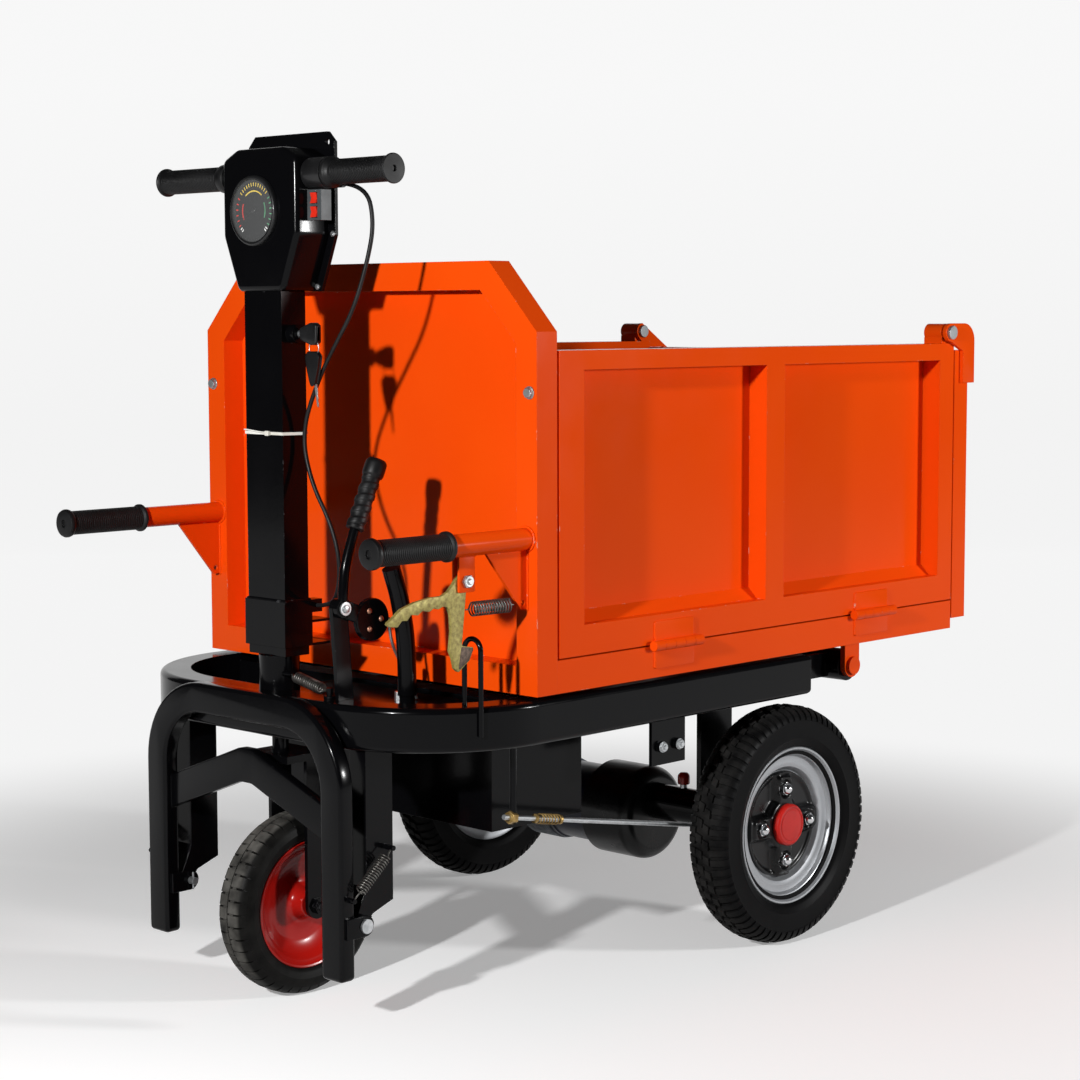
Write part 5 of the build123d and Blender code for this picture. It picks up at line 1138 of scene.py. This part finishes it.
class BARROW_OT_hand_brake(bpy.types.Operator):
    """Bend the hand brake, slip its spiral grip on and set the rivets of its cable quadrant"""
    bl_idname = "barrow.hand_brake"
    bl_label = "Hand brake"

    def execute(self, context):
        pivot, middle = axle("brake_pull"), -9.5
        foot, top = pivot + Vector((28, middle, 122)), pivot + Vector((74, middle, 221))
        reach = (top - foot).length
        grip = place(foot - (top - foot).normalized() * 3, top - foot)
        flat = place(pivot + Vector((0, -4.5, 0)), (0, -1, 0))
        wheel_x, wheel_z = 58, -22
        boss = [(0, 0), (14.2, 0), (15, 0.8), (15, 9.2), (14.2, 10), (0, 10)]
        wheel = mirrored([(0, -5), (31.6, -5), (33, -3.6), (33, -2), (31.4, 0)])
        wheel = [(r, h + 5) for r, h in wheel]
        line = [pivot + Vector((x, middle, z))
                for x, z in ((0, -4), (3, 34), (8, 66), (28, 122), (60, 191))]
        lever = shape((turn, boss, flat, 40, False),
                      (turn, wheel, flat @ Matrix.Translation((wheel_x, wheel_z, 0)), 64, False),
                      (slab, [(-4, -13), (52, -34), (62, -10), (5, 13)], 1, 9, flat, 1),
                      (bar, eased(line), 8, 20))
        piece("brake_lever_formed", lever, "black_enamel", "hand_brake",
              ["brake_lever"], 34)
        collar = [(8.4, -1.5), (13, -1.5), (14.4, 0), (14.4, 4), (13, 5.5), (8.4, 5.5)]
        knob = [(r, reach + h) for r, h in ((0, -26), (13, -26), (15.8, -24), (16.9, -20), (16.9, -6),
                                            (16.2, -1), (13.5, 2.6), (8, 4), (0, 4))]
        sleeve = shape((spiral_grip, grip, reach - 16, 13.9, 0.8, 5), (turn, collar, grip, 36),
                       (turn, knob, grip, 40, False))
        piece("brake_grip_moulded", sleeve, "grip_vinyl", "hand_brake", (), 40)
        dome = [(0, -0.5), (4.6, -0.5), (4.6, 0.8), (4.0, 1.8), (2.6, 2.6), (0, 2.9)]
        spots = [pivot + Vector((wheel_x + x, -14.5, wheel_z + z)) for x, z in circle(16, 3)]
        rivets = [(turn, dome, place(spot, (0, -1, 0)), 20, False) for spot in spots]
        piece("brake_rivets", shape(*rivets), "rivet_copper", "hand_brake", (), 40)
        head = [(0, 0.2), (10.4, 0.2), (10.4, 3.1), (6.4, 3.2), (6.2, 5), (4, 6), (0, 6.2)]
        end = place(pivot + Vector((0, -15, 0)), (0, -1, 0))
        piece("brake_pivot_head", shape((turn, head, end, 32, False)), "zinc_plate", "chassis",
              (), 40)
        return {"FINISHED"}


KEY_BOW = ((-1, -8), (9, -12), (24, -17), (36, -17), (40, -12), (40, 12), (36, 17), (24, 17), (9, 12),
           (-1, 8))
SPARE_BOW = ((-15, 14), (-9, 20), (9, 20), (15, 14), (12, -2), (6, -22), (3, -30), (-3, -30), (-6, -22),
             (-12, -2))
SPARE_BLADE = ((-2.6, -31), (-1.6, -62), (0.5, -64), (1.5, -58), (0.9, -54), (2.2, -50), (1.4, -46),
               (2.6, -42), (2.6, -29), (0, -28))


class BARROW_OT_key(bpy.types.Operator):
    """Mould the key's bow, hang the spare key from it and tie the cable to the column"""
    bl_idname = "barrow.key"
    bl_label = "Key and cable tie"

    def execute(self, context):
        root = axle("key_turn")

        def facing(*offset):
            return place(root + Vector(offset), (-1, 0, 0), (0, -1, 0))

        hung = facing(-2, -30, -48)
        end = rounded([(33, -16.8), (40, -13), (40, 13), (33, 16.8)], 3, 4)
        bows = shape((slab, rounded(KEY_BOW, 5, 4), -4.5, 4.5, facing(0, 0, 0), 2.2),
                     (slab, end, -5.6, 5.6, facing(0, 0, 0), 1.6),
                     (slab, rounded(SPARE_BOW, 4, 4), -3.6, 3.6, hung, 1.6))
        piece("key_bows", bows, "moulded_black", "ignition_key", ["key"], 34)
        shank = [(0, -14), (4, -14), (4, -4), (5.4, -4), (5.4, 0.5), (0, 0.5)]
        ring = [(11 + x, y) for x, y in circle(0.8, 10)]
        steel = shape((turn, shank, place(root, (0, -1, 0)), 28, False),
                      (slab, SPARE_BLADE, -0.9, 0.9, hung @ Matrix.Rotation(math.radians(9), 4, "Z")),
                      (turn, ring, facing(-1, -30, -21), 48))
        piece("key_steel", steel, "zinc_plate", "ignition_key", (), 34)
        x, z, half_x, half_y = axle("steering_turn").x, 894, 24.2, 44.2
        loop = [(x - half_x, -half_y), (x + 3, -55), (x + 7, -56), (x + 11, -55), (x + half_x, -half_y),
                (x + half_x, half_y), (x - half_x, half_y)]
        lock = rounded(box_outline(-4.5, 4.5, -3.8, 3.8), 1.2, 3)
        tail = [(x - 28, -10, z + 0.5), (x - 28, 10, z + 2), (x - 27, 36, z + 4),
                (x - 25.5, 47, z + 4.4)]
        tie = shape((band, loop, z - 2.3, z + 2.3, 1.3),
                    (slab, lock, 0.8, 6.2, place((x - 24.5, -12, z), (-1, 0, 0), (0, -1, 0)), 0.8),
                    (bar, eased(tail), 1.2, 8))
        piece("cable_tie", tie, "nylon_white", "steering", (), 40)
        return {"FINISHED"}


class BARROW_OT_fasteners(bpy.types.Operator):
    """Fit bolts, screws, the cable adjuster, the axle's breather and the motor's finned end"""
    bl_idname = "barrow.fasteners"
    bl_label = "Fasteners"

    def execute(self, context):
        self.bolts()
        self.brake_rod()
        self.screws()
        self.motor()
        return {"FINISHED"}

    def bolts(self):
        """Hex bolts, the brake cable's adjuster and the axle's breather."""
        low, high = span("headboard_bolts")
        height, washer_r, seat = (low.z + high.z) / 2, 9, low.x + 6
        steps = []
        for y in (low.y + washer_r, high.y - washer_r):
            steps += [(hex_head, place((seat, y, height), (-1, 0, 0), (0, 1, 0)), 15, 7, 10),
                      (bar, [(seat, y, height), (high.x, y, height)], 4.9)]
        piece("headboard_hex_bolts", shape(*steps), "zinc_plate", "box", ["headboard_bolts"], 34)
        steps, stub = [], [(0, 4), (4, 4), (4, 7.4), (3.4, 8), (0, 8)]
        plate_y, bolt_z = -380, 382
        for x in (-110.5, -69.5):
            spot = (x, plate_y, bolt_z)
            steps += [(hex_head, place(spot, (0, -1, 0), (1, 0, 0.3)), 14, 5, 9),
                      (turn, stub, place(spot, (0, -1, 0)), 20, False)]
        adjuster, breather = place((-484, -165, 0)), place((211, -150, 0))
        thread = [(5.0 if i % 2 else 4.3, 490 + 0.8 * i) for i in range(66)]
        thread = [(0, 478), (4.4, 478)] + thread + [(3.4, 543.4), (0, 543.4)]
        neck = [(0, 230), (6.5, 230), (6.5, 245), (0, 245)]
        steps += [(turn, thread, adjuster, 20, False), (slab, hexagon(17.6), 477.5, 492.6, adjuster),
                  (turn, neck, breather, 24, False)]
        piece("frame_bolts", shape(*steps), "zinc_plate", "chassis", (), 34)
        cap = [(0, 243.6), (10.3, 243.8), (10.9, 246), (10.9, 257), (9.8, 261), (6.5, 264), (0, 264.6)]
        piece("breather_cap", shape((turn, cap, breather, 28, False)), "rocker_red", "chassis",
              (), 40)

    def brake_rod(self):
        """Brake rod with its nuts and hanger, and the bent bar on the deck."""
        start = Vector((-434, -340, 312))
        end = Vector((span("brake_rod")[1].x - 1, -303, 205))
        way = place(start, end - start, (0, 0, 1))
        piece("brake_rod_drawn", shape((bar, [start, end], 4, 16)), "zinc_plate", "chassis",
              ["brake_rod"], 34)
        nuts = shape((slab, hexagon(18), 12, 25, way, 1),
                     (turn, [(4, 74), (7.5, 74), (7.5, 77), (6.5, 79), (4, 79)], way, 28),
                     (turn, [(4, 132), (6.5, 132), (7.5, 134), (7.5, 137), (4, 137)], way, 28))
        piece("brake_rod_nuts", nuts, "rod_spring_brass", "chassis", (), 34)
        hang = way @ Vector((0, 0, 22.5))
        bent = [(-508, -205, 494), (-508, -205, 536), (-511.6, -205, 590), (-522.5, -205, 645),
                (-539, -205, 693)]
        bars = shape((bar, [(hang.x, hang.y, hang.z - 9), (hang.x, hang.y, 430)], 5.5, 18),
                     (bar, eased(bent), 14.5, 24))
        piece("deck_bars", bars, "black_enamel", "chassis", (), 34)

    def screws(self):
        """Screws of the head's back plate, and heads of the tailgate's pins."""
        head = [(0, -0.4), (4.6, -0.4), (4.6, 1.2), (3.6, 2.6), (0, 3.2)]
        seat = -554
        screws = [(turn, head, place((seat, y, z), (-1, 0, 0), (0, -1, 0)), 20, False)
                  for y, z in ((-97, 1199), (-60, 1119), (97, 1199), (60, 1119))]
        piece("head_screws", shape(*screws), "zinc_plate", "steering", (), 40)
        hinge = axle("tailgate_swing")
        head = [(0, -0.3), (12.5, -0.3), (12.5, 4.4), (11.4, 5.6), (0, 5.8)]
        pins = [(turn, head, place((hinge.x, y - HOOK_THICK, hinge.z), (0, -1, 0)), 36, False)
                for y in HOOK_FACES]
        piece("tailgate_pin_heads", shape(*pins), "zinc_plate", "gate", (), 34)

    def motor(self):
        """Motor shell with its finned end, on the CAD motor's axis."""
        low, high = span("drive_motor")
        start, end = low.y, high.y
        shaft = place(((low.x + high.x) / 2, 0, (low.z + high.z) / 2), (0, 1, 0))
        fin = shape((turn, [(66, -1.3), (75.6, -1.3), (76, 0), (75.6, 1.3), (66, 1.3)], HERE, 64))
        line = [shaft @ Vector((0, 0, end - 62)), shaft @ Vector((0, 0, end - 4))]
        core = [(0, end - 68), (69, end - 68), (69, end - 3), (63, end), (0, end)]
        piece("motor_fins", shape(rowed(line, fin, "motor_alloy", 5.4), (turn, core, shaft, 64, False)),
              "motor_alloy", "chassis", (), 34)
        shell = [(0, start), (70, start), (72, start + 2), (72, start + 8), (70.6, start + 9.5),
                 (70.6, end - 76), (73, end - 74), (73, end - 66), (71, end - 64), (0, end - 64)]
        piece("motor_shell", shape((turn, shell, shaft, 72, False)), "motor_blue", "chassis",
              ["drive_motor"], 34)


def weld_lines():
    """Runs of weld bead in millimetres with their radius, by the body that they belong to."""
    low, high = span("push_grips")
    tube_z, face, wall = (low.z + high.z) / 2, span("headboard")[0].x - 0.5, 393.6
    box = []
    for side in (1, -1):
        y = side * 370
        box.append(([(face, y + a, tube_z + b) for a, b in arc(18, 0, 360, 24)], 2.6))
        for off in (-3.2, 3.2):
            box.append(([(face, y + off, tube_z - drop) for drop in (24, 106)], 2.0))
        for x in (-147, -53, 383, 477):
            for run in ((518, 540), (564, 587)):
                box.append(([(x, side * wall, z) for z in run], 2.0))
    for y in (-369.5, -354.5):
        box.append(([(-554, y, 722.5), (-522, y, 722.5)], 2.2))
    x = axle("steering_turn").x
    sleeve = [(x + a, b, 634.5) for a, b in box_outline(-25, 25, -45, 45)]
    return {"box": box, "steering": [(sleeve + sleeve[:1], 2.6)]}


class BARROW_OT_welds(bpy.types.Operator):
    """Run weld beads along the seams of the box, its handles and the steering column"""
    bl_idname = "barrow.welds"
    bl_label = "Weld beads"

    def execute(self, context):
        pitch = context.scene.barrow_sizes.bead_pitch / MM
        looks = {"box": ("orange_enamel", "orange_paint"), "steering": ("black_enamel", "black_paint")}
        for body, runs in weld_lines().items():
            finish, slot = looks[body]
            steps = []
            for line, size in runs:
                bead = [(0, -pitch), (size * 0.75, -pitch * 0.7), (size, 0), (size * 0.75, pitch * 0.7),
                        (0, pitch)]
                ripple = shape((turn, bead, HERE, 9, False))
                steps.append(rowed(line, ripple, finish, pitch, 0.6, 7))
            piece(f"weld_beads_{body}", shape(*steps), finish, body, (), 60)
        return {"FINISHED"}


class BARROW_PT_panel(bpy.types.Panel):
    """Pieces of the wheelbarrow"""
    bl_idname = "BARROW_PT_panel"
    bl_label = "Wheelbarrow"
    bl_space_type = "VIEW_3D"
    bl_region_type = "UI"
    bl_category = "Wheelbarrow"

    def draw(self, context):
        for group in (context.scene.barrow_sizes, context.scene.barrow_colours):
            for name in group.bl_rna.properties.keys():
                if name not in ("name", "rna_type"):
                    self.layout.prop(group, name)
        for operator in OPERATORS:
            self.layout.operator(operator.bl_idname)


OPERATORS = (
    BARROW_OT_finishes, BARROW_OT_stage, BARROW_OT_throttle_cable, BARROW_OT_tyres, BARROW_OT_wheels,
    BARROW_OT_grips, BARROW_OT_gauge, BARROW_OT_box_sides, BARROW_OT_plates, BARROW_OT_step,
    BARROW_OT_head, BARROW_OT_latch, BARROW_OT_hand_brake, BARROW_OT_key, BARROW_OT_fasteners,
    BARROW_OT_welds)
CLASSES = (BarrowSizes, BarrowColours, *OPERATORS, BARROW_PT_panel)


def register():
    for group in CLASSES:
        bpy.utils.register_class(group)
    bpy.types.Scene.barrow_sizes = bpy.props.PointerProperty(type=BarrowSizes)
    bpy.types.Scene.barrow_colours = bpy.props.PointerProperty(type=BarrowColours)


def unregister():
    del bpy.types.Scene.barrow_colours
    del bpy.types.Scene.barrow_sizes
    for group in reversed(CLASSES):
        bpy.utils.unregister_class(group)


def main():
    register()
    for operator in OPERATORS:
        family, name = operator.bl_idname.split(".")
        getattr(getattr(bpy.ops, family), name)()


if __name__ == "__main__":
    main()
